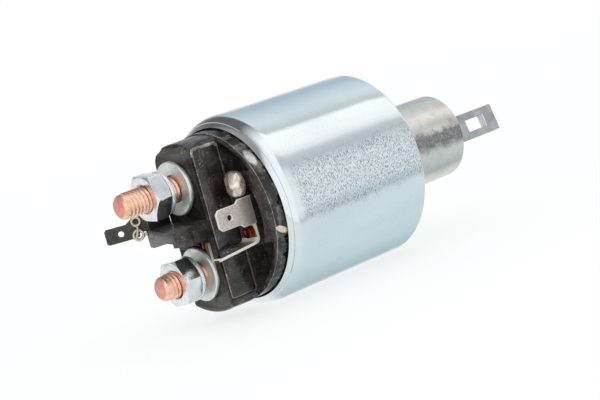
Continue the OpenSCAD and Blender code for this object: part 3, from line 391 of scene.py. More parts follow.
finishes = dict(
    zinc=zincCase(),
    phenolic=phenolicCap("mouldedPhenolic", "#252322", "#474340", "#98928d"),
    # pale grey edge finish for the cap's rims, groove and beads: partly wear, partly a painted highlight where
    # edges catch the overhead light
    phenolicEdgeWearAndHighlight=phenolicCap("paleEdgeWearAndHighlightPhenolic", "#6f6a68", "#b5afab", "#d8d3ce", 0.60, 0.0),
    copperThread=plated("copperPlate", "#ffd9c2", "#f7b592", 0.33, grain=0.4, bump=0.01, patch=1.6,
                        metal=0.85),
    copperEnd=plated("shearedCopper", "#f7b3a2", "#e89582", 0.45, grain=0.5, bump=0.03, patch=1.2, metal=0.8),
    zincNut=plated("brightZincNut", "#f1f2f4", "#d9dde3", 0.16, grain=0.4, bump=0.03, patch=2.0),
    zincWasher=plated("satinZincWasher", "#eceeed", "#d5d9d9", 0.34, grain=0.25, bump=0.004, patch=2.0,
                      metal=0.7),
    springWasher=plated("zincSpringSteel", "#f6f7f7", "#dfe3e4", 0.26, grain=0.25, bump=0.004, patch=2.0,
                        metal=0.6),
    tinnedTab=plated("tinnedBrass", "#d8cfc8", "#b6aca5", 0.44, grain=0.25, bump=0.02, patch=0.5, metal=0.7),
    # near-white painted highlight for bright sheet-metal edges, the strap's lug and its corner
    paintedEdgeHighlight=plated("nearWhiteEdgeHighlight", "#fffdf8", "#f3ece0", 0.36, bump=0.01, patch=0.7, metal=0.12),
    strapTin=plated("tinnedSteelStrap", "#cdbba6", "#a8957f", 0.36, bump=0.005, patch=1.2, metal=0.8),
    solder=plated("softSolder", "#fdf7f0", "#b09a80", 0.27, grain=0.8, bump=0.05, patch=1.7, metal=0.8),
    rivetCopper=plated("copperRivet", "#8e3624", "#5f2214", 0.38, bump=0.006, patch=1.0),
    rivetBrass=plated("brassRivet", "#d2a858", "#a98443", 0.36, bump=0.006, patch=1.0),
    # the front tab's dark olive stands in for the shade on its near face, which looks away from the light
    darkTab=plated("shadedOliveSteel", "#4c4d42", "#36372f", 0.45, bump=0.006, patch=1.6, metal=0.35),
    tinWire=plated("tinnedWire", "#e3ddc8", "#bdb59c", 0.36, bump=0.004, patch=0.8, metal=0.8),
    leadWire=plated("bareCopperWire", "#c9764a", "#a35835", 0.30, bump=0.004, patch=1.0),
    lacquer=coloured("darkWireLacquer", "#3a1624", "#241019", 0.30, grain=0.8),
    redLacquer=coloured("redWireLacquer", "#93382c", "#5e1f1a", 0.30, grain=0.8),
    # the plunger's dark band along its near side is a painted reflection of a dark thing nearby
    plunger=turnedSteel("wornSteelWithPaintedReflection", "#dddbd6", "#ccc9c3", 0.30, 0.30, paintedDarkReflection=(87, 13, "#74787a")),
    link=turnedSteel("stampedSteel", "#bcbfc2", "#93979c", 0.60, 0.36),
    core=turnedSteel("machinedSteel", "#a9adb0", "#8b8f92", 0.40, 0.36),
    brass=turnedSteel("drawnBrass", "#d8b264", "#b8924a", 0.50, 0.26),
    rod=turnedSteel("groundSteel", "#cdd0d2", "#b0b4b7", 0.20, 0.24),
    spring=plated("springWire", "#8f9498", "#5f6468", 0.30, bump=0.003, patch=2.0),
    contactCopper=plated("rolledCopper", "#dd8c60", "#b96a42", 0.30, bump=0.004, patch=2.0),
    nylon=coloured("mouldedNylon", "#e6e1d2", "#d6d0be", 0.46, grain=1.5),
    rubber=coloured("blackRubber", "#202022", "#17171a", 0.62, grain=0.6, bump=0.01),
    paper=coloured("varnishedPaper", "#d8c48f", "#bfa66c", 0.40, grain=2.5, bump=0.02),
    fibre=coloured("pressedFibre", "#d6ceb6", "#b9ae92", 0.60, grain=0.5, bump=0.01),
    pullIn=wound("enamelledHeavyWire", "#c06a3a", "#6d2f19", 1.0),
    holdIn=wound("enamelledFineWire", "#a8492b", "#5c2214", 0.45),
    cream=coloured("creamPaint", "#e9e0c4", "#d9cfae", 0.45, grain=0.8),
)
print("finishes made:", len(finishes))


# making pieces
def settle(bm, name, body, finish, stands=(), sharp=40, more=()):
    # bm in millimetres becomes a piece that rides on its body
    bmesh.ops.recalc_face_normals(bm, faces=bm.faces)
    bmesh.ops.scale(bm, vec=(mm, mm, mm), verts=bm.verts)
    piece = intoObject(bm, name)
    mesh = piece.data
    mesh.shade_smooth()
    mesh.set_sharp_from_angle(angle=math.radians(sharp))
    for each in (finish, *more):
        mesh.materials.append(finishes[each])
    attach(piece, body)
    if stands:
        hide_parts(*stands)
    print("  made", name, len(mesh.polygons), "faces")
    return piece


def cadCopy(node):
    # the CAD node's loose triangles, merged and with its flat faces joined
    bm = bmesh.new()
    bm.from_mesh(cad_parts[node].data)
    bmesh.ops.scale(bm, vec=(1000, 1000, 1000), verts=bm.verts)
    bmesh.ops.remove_doubles(bm, verts=bm.verts, dist=0.002)
    bmesh.ops.dissolve_limit(bm, angle_limit=math.radians(1.2), verts=bm.verts, edges=bm.edges)
    return bm


def softEdges(bm, width, segments=2, above=35, chosen=None):
    edges = [e for e in bm.edges if len(e.link_faces) == 2 and e.calc_face_angle(0) > math.radians(above)
             and (chosen is None or chosen(e))]
    made = bmesh.ops.bevel(bm, geom=edges, offset=width, offset_type="OFFSET", affect="EDGES",
                           segments=segments, profile=0.5, material=-1, clamp_overlap=True)
    return made["faces"]


def spinOutline(points, steps=160, closed=True):
    # a ring about the relay's axis from points (radius, x)
    bm = bmesh.new()
    verts = [bm.verts.new((x, 0, r)) for r, x in points]
    edges = [bm.edges.new((verts[i], verts[i + 1])) for i in range(len(verts) - 1)]
    if closed:
        edges.append(bm.edges.new((verts[-1], verts[0])))
    bmesh.ops.spin(bm, geom=verts + edges, cent=(0, 0, 0), axis=(1, 0, 0), angle=math.tau, steps=steps,
                   use_merge=True)
    bmesh.ops.remove_doubles(bm, verts=bm.verts, dist=0.0005)
    return bm


def arcPoints(midR, midX, r, start, stop, steps=10):
    return [(midR + r * math.cos(math.radians(start + (stop - start) * i / steps)),
             midX + r * math.sin(math.radians(start + (stop - start) * i / steps))) for i in range(steps + 1)]


def roundedRing(outR, inR, lowX, highX, edge, steps):
    # a plain washer or ring with softened corners
    outMid, inMid, high, low = outR - edge, inR + edge, highX - edge, lowX + edge
    points = []
    for midR, midX, start in ((outMid, high, 0), (inMid, high, 90), (inMid, low, 180), (outMid, low, 270)):
        points += arcPoints(midR, midX, edge, start, start + 90, 4)
    return spinOutline(points, steps)


def place(bm, y=0.0, z=0.0):
    bmesh.ops.translate(bm, vec=(0, y, z), verts=bm.verts)


def addInto(bm, other):
    # joins another bmesh to this one
    spare = bpy.data.meshes.new("spare")
    other.to_mesh(spare)
    other.free()
    bm.from_mesh(spare)
    bpy.data.meshes.remove(spare)


# zinc case
case = dict(outR=29.5, inR=26.5, seatR=27.7, boreR=14.46, length=49, lipEnd=54.5, lipR=26.5, rollR=6.54,
            rollMid=22.96, rollInR=4.74, frontT=5, stepX=41, frontEdge=1.2, rim=0.25, mouth=0.4,
            grooveTurn=41, grooveHalf=1.2, grooveDepth=0.12,
            holes=3, holeCircle=43, holeD=4.2, sinkIn=0.3, sinkOut=0.9, sinkDeep=1.2)


def makeCase():
    c = case
    outTurn = math.degrees(math.asin((c["lipEnd"] - c["length"]) / c["rollR"]))
    inTurn = math.degrees(math.acos((c["lipR"] - c["rollMid"]) / c["rollInR"]))
    turn, half = c["grooveTurn"], c["grooveHalf"]
    points = [(c["boreR"] + c["mouth"], 0)]
    points += arcPoints(c["outR"] - c["frontEdge"], -c["frontEdge"], c["frontEdge"], 90, 0, 8)
    points += [(c["outR"], -c["length"] * k / 6) for k in (1, 2, 3, 4, 5)]
    points += arcPoints(c["rollMid"], -c["length"], c["rollR"], 0, half - turn, 9)
    points += arcPoints(c["rollMid"], -c["length"], c["rollR"] - c["grooveDepth"], -turn, -turn, 1)
    points += arcPoints(c["rollMid"], -c["length"], c["rollR"], -turn - half, 1.5 - outTurn, 5)
    points += [(c["lipR"], -c["lipEnd"] + c["rim"])]
    points += arcPoints(c["rollMid"], -c["length"], c["rollInR"], -inTurn, 0, 8)
    points += [(c["seatR"], -c["stepX"]), (c["inR"], -c["stepX"]), (c["inR"], -c["frontT"]),
               (c["boreR"], -c["frontT"]), (c["boreR"], -c["mouth"])]
    bm = spinOutline(points, 256)
    shell = settle(bm, "zincCase", "housing", "zinc", ["case_shell"], sharp=28)
    # tapped holes with a countersunk mouth
    cutter = bmesh.new()
    for i in range(c["holes"]):
        at = Matrix.Rotation(math.tau * i / c["holes"], 4, "X") @ Vector((0, 0, c["holeCircle"] / 2))
        where = Matrix.Translation(at) @ Matrix.Rotation(math.pi / 2, 4, "Y")
        r = c["holeD"] / 2
        drill = (r, r, 2 * c["frontT"] + 4)
        for lowR, highR, deep in (drill, (r - c["sinkIn"], r + c["sinkOut"], c["sinkDeep"])):
            bmesh.ops.create_cone(cutter, cap_ends=True, segments=48, radius1=lowR, radius2=highR, depth=deep,
                                  matrix=where)
    bmesh.ops.scale(cutter, vec=(mm, mm, mm), verts=cutter.verts)
    holes = intoObject(cutter, "holeCutter")
    cut = shell.modifiers.new("tappedHoles", "BOOLEAN")
    cut.object = holes
    cut.operation = "DIFFERENCE"
    cut.solver = "EXACT"
    cut.use_self = True
    whole = shell.data
    shell.data = bpy.data.meshes.new_from_object(shell.evaluated_get(bpy.context.evaluated_depsgraph_get()))
    shell.modifiers.clear()
    shell.data.name = "zincCase"
    holeMesh = holes.data
    bpy.data.objects.remove(holes)
    for mesh in (whole, holeMesh):
        bpy.data.meshes.remove(mesh)


makeCase()
print("case made")


# black cap: the moulding's panels stand in a groove; the collar rim and the groove walls take the pale edge
# finish, partly wear and partly painted highlight
capEdges = dict(width=0.3, segments=2, rim=0.25, collarR=26, collarX=-58.2, collarEnd=-53, sideY=9.1,
                floorY=8.6, panelFront=-68.3, panelBack=-58.3, panelTop=22.8, panelArea=15, groove=0.32,
                rise=0.5, cornerZ=23.75, nearCorner=1.3, farCorner=4.4, cuts=8, cutStep=0.55,
                barrierX=-69.2, barrierEdge=0.7)


def makeCap():
    c = capEdges
    bm = cadCopy("terminal_cap")

    def onCollarRim(edge):
        return all(abs(math.hypot(v.co.y, v.co.z) - c["collarR"]) < 0.05 and abs(v.co.x - c["collarX"]) < 0.05
                   for v in edge.verts)

    def onPanelMouth(edge):
        return all(abs(abs(v.co.y) - c["sideY"]) < 0.02 and c["panelFront"] < v.co.x < c["panelBack"] + 0.2
                   and abs(v.co.z) < c["panelTop"] for v in edge.verts)

    def onPanelFloor(edge):
        return all(abs(abs(v.co.y) - c["floorY"]) < 0.02 and c["panelFront"] < v.co.x < c["panelBack"]
                   for v in edge.verts)

    def onBarrier(edge):
        return all(v.co.x < c["barrierX"] for v in edge.verts)

    def onPlainEdge(edge):
        return not (onCollarRim(edge) or onPanelMouth(edge) or onPanelFloor(edge) or onBarrier(edge))

    # the block's upper corners are round: cut its sides at a few heights, then lay the points on an arc
    for k in range(1, c["cuts"] + 1):
        cut = [f for f in bm.faces if abs(abs(f.calc_center_median().y) - c["floorY"]) > 0.2
               and (k < 3 or f.calc_center_median().y > -c["sideY"] + 0.2)]
        cut += list({e for f in cut for e in f.edges}) + list({v for f in cut for v in f.verts})
        bmesh.ops.bisect_plane(bm, geom=cut, dist=0.0001, plane_co=(0, 0, c["cornerZ"] - c["cutStep"] * k),
                               plane_no=(0, 0, 1))
    for side, r in ((1, c["farCorner"]), (-1, c["nearCorner"])):
        midY, midZ = c["sideY"] - r, c["cornerZ"] - r
        for v in bm.verts:
            y, z = v.co.y * side - midY, v.co.z - midZ
            if v.co.x < c["collarX"] - 0.1 and y > 0 and z > 0 and math.hypot(y, z) > r:
                k = r / math.hypot(y, z)
                v.co.y, v.co.z = side * (midY + y * k), midZ + z * k
    softEdges(bm, c["barrierEdge"], 3, 30, onBarrier)
    # the collar rim's bevel takes the pale edge finish: a painted highlight along with wear
    paleRimFaces = softEdges(bm, c["rim"], 2, 30, onCollarRim)
    for face in paleRimFaces:
        face.material_index = 1
    softEdges(bm, c["width"], c["segments"], 30, onPlainEdge)
    floors = [f for f in bm.faces if abs(abs(f.calc_center_median().y) - c["floorY"]) < 0.03
              and f.calc_area() > c["panelArea"] and abs(f.normal.y) > 0.99]
    before = set(bm.faces)
    bmesh.ops.inset_individual(bm, faces=floors, thickness=c["groove"], depth=c["rise"])
    # the new faces round each panel take the pale edge finish: a light outline that is painted highlight along
    # with wear
    for face in bm.faces:
        if face not in before:
            face.material_index = 1
    for v in bm.verts:  # nothing of the collar reaches past its own rim
        r = math.hypot(v.co.y, v.co.z)
        if c["collarX"] - 0.35 < v.co.x < c["collarEnd"] and r > c["collarR"]:
            v.co.y, v.co.z = v.co.y * c["collarR"] / r, v.co.z * c["collarR"] / r
    settle(bm, "phenolicCap", "housing", "phenolic", ["terminal_cap"],
           more=["phenolicEdgeWearAndHighlight"])


makeCap()
print("cap made")


# studs, with rolled M8 threads
stud = dict(crestR=3.9, rootR=3.62, pitch=1.25, chamfer=0.65, taper=2.6, tipR=3.45, steps=40,
            innerX=-57.5, roofX=-60.5, headW=12, headH=11, headEdge=0.4,
            batteryZ=12.75, motorZ=-13.65, batteryTip=-90.8, motorTip=-85.2)


def makeStud(name, z, tipX, node):
    s = stud
    p = s["pitch"]
    outline = [(s["rootR"], 0.0), (s["rootR"], 0.08), (s["crestR"] - 0.05, 0.42), (s["crestR"], 0.46),
               (s["crestR"], 0.54), (s["crestR"] - 0.05, 0.58), (s["rootR"], 0.92), (s["rootR"], 1.0)]
    startX = s["roofX"] + 1.5
    turns = math.ceil((startX - tipX) / p) + 2
    bm = bmesh.new()
    verts = [bm.verts.new((startX + p - x * p, 0, r)) for r, x in outline]
    edges = [bm.edges.new((verts[i], verts[i + 1])) for i in range(len(verts) - 1)]
    bmesh.ops.spin(bm, geom=verts + edges, cent=(0, 0, 0), axis=(-1, 0, 0), dvec=(-p / s["steps"], 0, 0),
                   angle=math.tau * turns, steps=s["steps"] * turns)
    bmesh.ops.remove_doubles(bm, verts=bm.verts, dist=0.001)
    for x, side in ((startX - p, 1), (tipX, -1)):
        geom = bm.verts[:] + bm.edges[:] + bm.faces[:]
        bmesh.ops.bisect_plane(bm, geom=geom, dist=0.0001, plane_co=(x, 0, 0), plane_no=(side, 0, 0),
                               clear_outer=True)
        rim = [e for e in bm.edges if e.is_boundary and all(abs(v.co.x - x) < 0.001 for v in e.verts)]
        bmesh.ops.holes_fill(bm, edges=rim, sides=0)
    for v in bm.verts:  # worn taper and chamfer of the tip
        r = math.hypot(v.co.y, v.co.z)
        along = v.co.x - tipX
        wearAndDarkBand = s["tipR"] + (s["crestR"] - s["tipR"]) * along / s["taper"]
        most = min(s["crestR"], wearAndDarkBand) - max(0.0, s["chamfer"] - along)
        if r > most:
            v.co.y *= most / r
            v.co.z *= most / r
    for face in bm.faces:
        if face.calc_center_median().x < tipX + 0.02:
            face.material_index = 1
    head = bmesh.new()
    bmesh.ops.create_cube(head, size=1, matrix=Matrix.Translation(((s["innerX"] + s["roofX"]) / 2, 0, 0))
                          @ Matrix.Diagonal((s["innerX"] - s["roofX"], s["headW"], s["headH"], 1)))
    softEdges(head, s["headEdge"])
    addInto(bm, head)
    place(bm, z=z)
    settle(bm, name, "housing", "copperThread", [node], sharp=50, more=["copperEnd"])


makeStud("batteryStud", stud["batteryZ"], stud["batteryTip"], "battery_stud")
makeStud("motorStud", stud["motorZ"], stud["motorTip"], "motor_stud")
print("studs made")


# nuts: the CAD hexagons with worn corners and a countersunk bore
nutEdge = dict(corner=0.22, mouth=0.5, boreR=4.0)


def makeNut(name, node, z, turn=0.0):
    bm = cadCopy(node)
    bmesh.ops.rotate(bm, cent=(0, 0, z), matrix=Matrix.Rotation(math.radians(turn), 3, "X"), verts=bm.verts)

    def atBore(edge):
        return all(abs(math.hypot(v.co.y, v.co.z - z) - nutEdge["boreR"]) < 0.1 for v in edge.verts)

    softEdges(bm, nutEdge["mouth"], 1, above=60, chosen=atBore)
    softEdges(bm, nutEdge["corner"], 3, above=25, chosen=lambda edge: all(
        math.hypot(v.co.y, v.co.z - z) > nutEdge["boreR"] + 1.5 for v in edge.verts))
    settle(bm, name, "housing", "zincNut", [node], sharp=30)


makeNut("batteryNut", "battery_nut", stud["batteryZ"], turn=3)
makeNut("motorNut", "motor_nut", stud["motorZ"])
print("nuts made")


# washers: punched flat ones with rolled rims, and split spring washers
washers = dict(boreR=4.1, flatR=8.2, innerR=7, flatT=1.2, edge=0.35, springR=6.7, springT=1.8, springEdge=0.3,
               split=14, lift=0.25, steps=90, batteryFlatX=-70.25, batteryInnerX=-69, motorFlatX=-69.8,
               batterySpringX=-75, motorSpringX=-73.2)


def makeFlatWashers(name, z, rings, node):
    bm = bmesh.new()
    for outR, x in rings:
        addInto(bm, roundedRing(outR, washers["boreR"], x - washers["flatT"], x, washers["edge"], 120))
    place(bm, z=z)
    settle(bm, name, "housing", "zincWasher", [node], sharp=50)


def makeSpringWasher(name, z, x, node):
    # a rectangle turned almost all the way round, with a small rise to its open ends
    w = washers
    bm = bmesh.new()
    half = w["springT"] / 2
    middle = (w["springR"] + w["boreR"]) / 2
    face = bmesh.ops.create_grid(bm, x_segments=1, y_segments=1, size=0.5)
    bmesh.ops.scale(bm, vec=(w["springT"] - 2 * w["lift"], w["springR"] - w["boreR"], 1), verts=face["verts"])
    bmesh.ops.rotate(bm, cent=(0, 0, 0), matrix=Matrix.Rotation(math.pi / 2, 3, "X"), verts=face["verts"])
    bmesh.ops.translate(bm, vec=(x - half - w["lift"], 0, middle), verts=face["verts"])
    bmesh.ops.rotate(bm, cent=(0, 0, 0), matrix=Matrix.Rotation(math.radians(w["split"] / 2 - 90), 3, "X"),
                     verts=face["verts"])
    sweep = math.radians(360 - w["split"])
    bmesh.ops.delete(bm, geom=bm.faces[:], context="FACES_ONLY")
    bmesh.ops.spin(bm, geom=bm.verts[:] + bm.edges[:], cent=(0, 0, 0), axis=(1, 0, 0),
                   dvec=(2 * w["lift"] / w["steps"], 0, 0), angle=sweep, steps=w["steps"])
    bmesh.ops.remove_doubles(bm, verts=bm.verts, dist=0.001)
    bmesh.ops.holes_fill(bm, edges=[e for e in bm.edges if e.is_boundary], sides=4)
    bmesh.ops.recalc_face_normals(bm, faces=bm.faces)
    softEdges(bm, w["springEdge"], 2, above=40)
    place(bm, z=z)
    settle(bm, name, "housing", "springWasher", [node])


batteryRings = [(washers["innerR"], washers["batteryInnerX"]), (washers["flatR"], washers["batteryFlatX"])]
motorRings = [(washers["flatR"], washers["motorFlatX"])]
makeFlatWashers("batteryFlatWashers", stud["batteryZ"], batteryRings, "battery_flat_washers")
makeFlatWashers("motorFlatWasher", stud["motorZ"], motorRings, "motor_flat_washer")
makeSpringWasher("batterySpringWasher", stud["batteryZ"], washers["batterySpringX"], "battery_spring_washer")
makeSpringWasher("motorSpringWasher", stud["motorZ"], washers["motorSpringX"], "motor_spring_washer")
print("washers made")


# stamped terminals: the CAD sheet parts, edges softened as far as their shortest edge lets the bevel go
sheetEdge = dict(width=0.16, strapWidth=0.2, frontWidth=0.34, frontWay=(-0.82, 0.57, 0), linkWidth=0.25,
                 linkWay=(-1, 0, 0), retainerWidth=0.2, plateX=-68.9, plateTop=-9.25, plateY=-6.9)


def makeSheetPart(name, node, finish, width, body="housing", thick=0.0, toward=None):
    # the cut edges, narrower than thick, shine more than the flats through a near-white painted highlight, and
    # so does the strap's lug; toward keeps that to one side
    q = sheetEdge
    bm = cadCopy(node)
    isStrap = node == "motor_strap"
    for v in bm.verts:  # the corner of the strap's front plate stays behind the washer
        if isStrap and v.co.x < q["plateX"] and v.co.z < q["plateTop"]:
            v.co.y = max(v.co.y, q["plateY"])
    softEdges(bm, width, 3)
    for face in bm.faces:
        middle = face.calc_center_median()
        narrow = face.calc_area() < thick * max(e.calc_length() for e in face.edges)
        lug = isStrap and middle.x < q["plateX"] and middle.z > q["plateTop"] + 0.05
        if lug or narrow and (toward is None or face.normal.dot(Vector(toward)) > 0.3):
            face.material_index = 1
    settle(bm, name, body, finish, [node], sharp=38, more=["paintedEdgeHighlight"] if thick else [])


makeSheetPart("sideTab", "side_tab", "tinnedTab", sheetEdge["width"], thick=0.9)
makeSheetPart("motorStrap", "motor_strap", "strapTin", sheetEdge["strapWidth"], thick=1.3)
makeSheetPart("frontTab", "front_tab", "darkTab", sheetEdge["frontWidth"], thick=0.9,
              toward=sheetEdge["frontWay"])


# the strap's upper corner, where its shelf turns towards the washer: a small block in near white, a painted
# highlight
strapCorner = dict(centre=(-68.98, -8.45, -10.0), size=(0.75, 2.9, 0.55), edge=0.15)


def makeStrapCorner():
    q = strapCorner
    bm = bmesh.new()
    bmesh.ops.create_cube(bm, size=1.0)
    for v in bm.verts:
        v.co = [m + v.co[i] * q["size"][i] for i, m in enumerate(q["centre"])]
    softEdges(bm, q["edge"])
    settle(bm, "strapCorner", "housing", "paintedEdgeHighlight", ())


makeStrapCorner()
print("terminals made")


# rivets: a turned head with a shallow dish
rivets = dict(shankR=1.4, shankEnd=-56.7, faceX=-59)
sideRivet = dict(name="sideTabRivet", node="side_tab_rivet", y=-11.4, z=1.65, headR=2.1, headT=0.7, grooves=0,
                 finish="rivetBrass", slot="brass_tube")
strapRivet = dict(name="strapRivet", node="strap_rivet", y=-14.6, z=-4.6, headR=1.9, headT=1.8, grooves=3,
                  finish="rivetCopper", slot="lead_copper")


def makeRivet(each):
    q = rivets
    headR, face = each["headR"], q["faceX"]
    topX = face - each["headT"]
    points = [(0, q["shankEnd"]), (q["shankR"] - 0.2, q["shankEnd"]), (q["shankR"], q["shankEnd"] - 0.2),
              (q["shankR"], face), (headR - 0.1, face), (headR, face - 0.1)]
    for k in range(each["grooves"]):  # turned lines round the head
        x = face - each["headT"] * (k + 1) / (each["grooves"] + 1)
        points += [(headR, x + 0.1), (headR - 0.14, x), (headR, x - 0.1)]
    points += arcPoints(headR - 0.3, topX + 0.3, 0.3, 0, -90, 5)
    points += [(headR * 0.6, topX), (headR * 0.45, topX + 0.25), (0, topX + 0.35)]
    bm = spinOutline(points, 64, closed=False)
    place(bm, each["y"], each["z"])
    settle(bm, each["name"], "housing", each["finish"], [each["node"]])


makeRivet(sideRivet)
makeRivet(strapRivet)
print("rivets made")


# solder: a drawn-up bead round the winding's end
solder = dict(x=-60.8, y=-15.7, z=9.95, length=4.9, height=7.7, width=6.5, square=2.6, lumps=0.35, lumpMm=2.2,
              leadR=0.8, leadX=(-62.3, -55, -42, -34.3))


def makeSolder():
    q = solder
    bm = bmesh.new()
    bmesh.ops.create_uvsphere(bm, u_segments=72, v_segments=48, radius=0.5)
    for v in bm.verts:  # squarer than a ball, with a few lumps
        way = v.co.normalized()
        at = way * 0.5 / sum(abs(part) ** q["square"] for part in way) ** (1 / q["square"])
        at = Vector((at.x * q["length"], at.y * q["width"], at.z * q["height"]))
        at += way * noise.noise(at / q["lumpMm"] + Vector((7.3, 1.9, 4.2))) * q["lumps"]
        v.co = at + Vector((q["x"], q["y"], q["z"]))
    settle(bm, "solderBead", "housing", "solder", ["side_tab_solder"], sharp=180)


def wirePiece(name, runs, radius, finish, stands=()):
    # round wire along smooth runs of points, in millimetres
    curve = bpy.data.curves.new(name + "Line", "CURVE")
    curve.dimensions = "3D"
    curve.bevel_depth = radius * mm
    curve.bevel_resolution = 5
    curve.use_fill_caps = True
    curve.resolution_u = 10
    for run in runs:
        line = curve.splines.new("BEZIER")
        line.bezier_points.add(len(run) - 1)
        for point, at in zip(line.bezier_points, run):
            point.co = Vector(at) * mm
            point.handle_left_type = point.handle_right_type = "AUTO"
    spare = bpy.data.objects.new(name + "Line", curve)
    scene.collection.objects.link(spare)
    mesh = bpy.data.meshes.new_from_object(spare.evaluated_get(bpy.context.evaluated_depsgraph_get()))
    bpy.data.objects.remove(spare)
    bpy.data.curves.remove(curve)
    bm = bmesh.new()
    bm.from_mesh(mesh)
    bpy.data.meshes.remove(mesh)
    bmesh.ops.scale(bm, vec=(1000, 1000, 1000), verts=bm.verts)
    bmesh.ops.remove_doubles(bm, verts=bm.verts, dist=0.0005)
    settle(bm, name, "housing", finish, stands, sharp=60)


makeSolder()
wirePiece("startLead", [[(x, solder["y"], solder["z"]) for x in solder["leadX"]]], solder["leadR"], "leadWire",
          ["start_lead"])
print("solder and start lead made")


# moulded rib that fills the corner between the pad and the strap's shelf
rib = dict(lowX=-68.3, highX=-63.6, lowY=-9.75, highY=-13.5, rootY=-9.0, rootT=2.4, lipT=0.55, gap=0.02,
           edge=0.14, shelfX=-60, shelfZ=-7.6, shelfSlope=2.3 / 8.6)


def makeRib():
    q = rib
    bm = bmesh.new()
    for x, lipY in ((q["lowX"], q["lowY"]), (q["highX"], q["highY"])):
        shelf = q["shelfZ"] + (x - q["shelfX"]) * q["shelfSlope"]
        for y, lift in ((lipY, q["lipT"]), (q["rootY"], q["rootT"])):
            bm.verts.new((x, y, shelf + q["gap"]))
            bm.verts.new((x, y, shelf + lift))
    bmesh.ops.convex_hull(bm, input=bm.verts)
    bmesh.ops.dissolve_limit(bm, angle_limit=math.radians(1), verts=bm.verts, edges=bm.edges)
    softEdges(bm, q["edge"], 2, above=25)
    settle(bm, "padRib", "housing", "phenolic", ())


makeRib()
print("rib made")


# moulded bead over each panel's upper edge, in the pale edge finish as a painted highlight along with wear
bead = dict(radius=0.55, y=8.85, line=[(-67.95, 20.6), (-67.9, 21.7), (-67.5, 22.4), (-66.6, 22.6),
                                       (-63.3, 22.6), (-60.0, 22.6), (-59.2, 22.4), (-58.8, 21.7)])
for name, y in (("nearBead", -bead["y"]), ("farBead", bead["y"])):
    wirePiece(name, [[(x, y, z) for x, z in bead["line"]]], bead["radius"], "phenolicEdgeWearAndHighlight")
print("beads made")


# winding ends on the block's front face, lacquered dark and red
ends = dict(radius=0.38, x=-69.4,
            low=[(7.6, -5.75), (4.0, -5.8), (1.0, -5.85), (-2.0, -5.9)],
            high=[(7.0, -5.0), (2.0, -4.95), (-2.0, -5.05), (-3.0, -5.4)],
            red=[(-4.3, -4.2), (-4.2, -5.2), (-4.05, -6.2)])


def endRun(part):
    return [(ends["x"], y, z) for y, z in ends[part]]


wirePiece("finishLeads", [endRun("low"), endRun("high")], ends["radius"], "lacquer",
          ["finish_leads"])
wirePiece("redLead", [endRun("red")], ends["radius"], "redLacquer")
print("winding ends made")


# tinned wire in two loops round the front tab's neck
neck = dict(x=-76.0, y=10.8, turn=35, radius=0.42, lowS=3.6, lowZ=1.9, lowR=1.45, topS=3.3, topZ=6.0, topR=1.2,
            front=1.0)


def neckPoint(s, n, z):
    # s runs along the tab from its bend, n stands out from its near face
    a = math.radians(neck["turn"])
    return (neck["x"] - s * math.cos(a) - n * math.sin(a), neck["y"] + s * math.sin(a) - n * math.cos(a), z)


def makeNeckWire():
    k = neck
    f, s, z = k["front"], k["topS"], k["topZ"]
    loops = []
    for midS, midZ, r, rise, first, last in ((k["lowS"], k["lowZ"], k["lowR"], 0.35, -6, 14),
                                             (s, z, k["topR"], 0.25, -3, 15)):
        loop = []
        for t in [math.pi * i / 8 for i in range(first, last)]:
            loop.append(neckPoint(midS + r * math.cos(t), f + rise * t / math.pi, midZ + r * math.sin(t)))
        loops.append(loop)
    low, top = loops
    run = [neckPoint(0.9, f, 1.9), neckPoint(1.7, f, 1.5), *low[1:], neckPoint(3.3, f + 0.75, 3.9), *top]
    back = [neckPoint(*at) for at in ((s + 0.8, f, z + 1.25), (s + 0.3, 0, z + 1.75), (s, -f, z + 0.9),
                                      (s, -f, 4.0), (s + 0.2, -f, 2.2), (s + 0.4, 0, 1.45), (s + 0.9, f, 2.2))]
    wirePiece("neckWire", [run, back], k["radius"], "tinWire", ["front_tab_wire"])


makeNeckWire()
print("neck wire made")


# cream paint dot on the collar
dot = dict(x=-56.05, angle=102.4, r=26.0, along=2.05, around=1.05, slope=0.42, thick=0.16)


def makeDot():
    bm = bmesh.new()
    bmesh.ops.create_uvsphere(bm, u_segments=40, v_segments=24, radius=1)
    for v in bm.verts:
        wobble = 1 + 0.07 * noise.noise(v.co * 1.7 + Vector((3.1, 0.4, 8.8)))
        around = (dot["around"] * v.co.y + dot["slope"] * dot["along"] * v.co.x) * wobble / dot["r"]
        a = math.radians(dot["angle"]) + around
        r = dot["r"] + dot["thick"] * v.co.z
        v.co = Vector((dot["x"] + dot["along"] * v.co.x * wobble, -r * math.sin(a), r * math.cos(a)))
    settle(bm, "paintDot", "housing", "cream", (), sharp=180)


makeDot()
print("dot made")


# plunger, turned, with the rim crimped over the link's plate
plunger = dict(r=13.8, inX=-20, outX=34.8, edge=0.6, pocketR=8.5, pocketX=-9.4, boreR=9.6, boreX=2.0,
               crimpR=8.6, crimpX=33.8)


def makePlunger():
    q = plunger
    e = q["edge"]
    points = [(0, q["pocketX"]), (q["pocketR"], q["pocketX"]), (q["pocketR"], q["inX"] + 0.3),
              (q["pocketR"] + 0.3, q["inX"])]
    points += arcPoints(q["r"] - e, q["inX"] + e, e, -90, 0, 6)
    points += [(q["r"], q["inX"] + k * (q["outX"] - q["inX"]) / 8) for k in range(1, 8)]
    points += arcPoints(q["r"] - e, q["outX"] - e, e, 0, 90, 6)
    points += [(q["crimpR"] + 0.25, q["outX"]), (q["crimpR"], q["outX"] - 0.25), (q["crimpR"], q["crimpX"]),
               (q["boreR"], q["crimpX"]), (q["boreR"], q["boreX"]), (0, q["boreX"])]
    bm = spinOutline(points, 192, closed=False)
    settle(bm, "turnedPlunger", "plunger", "plunger", ["plunger"], sharp=35)


makePlunger()
makeSheetPart("stampedLink", "link", "link", sheetEdge["linkWidth"], body="link", thick=2.9,
              toward=sheetEdge["linkWay"])
makeSheetPart("linkRetainer", "link_retainer", "core", sheetEdge["retainerWidth"],
              body="plunger")
print("plunger and link made")
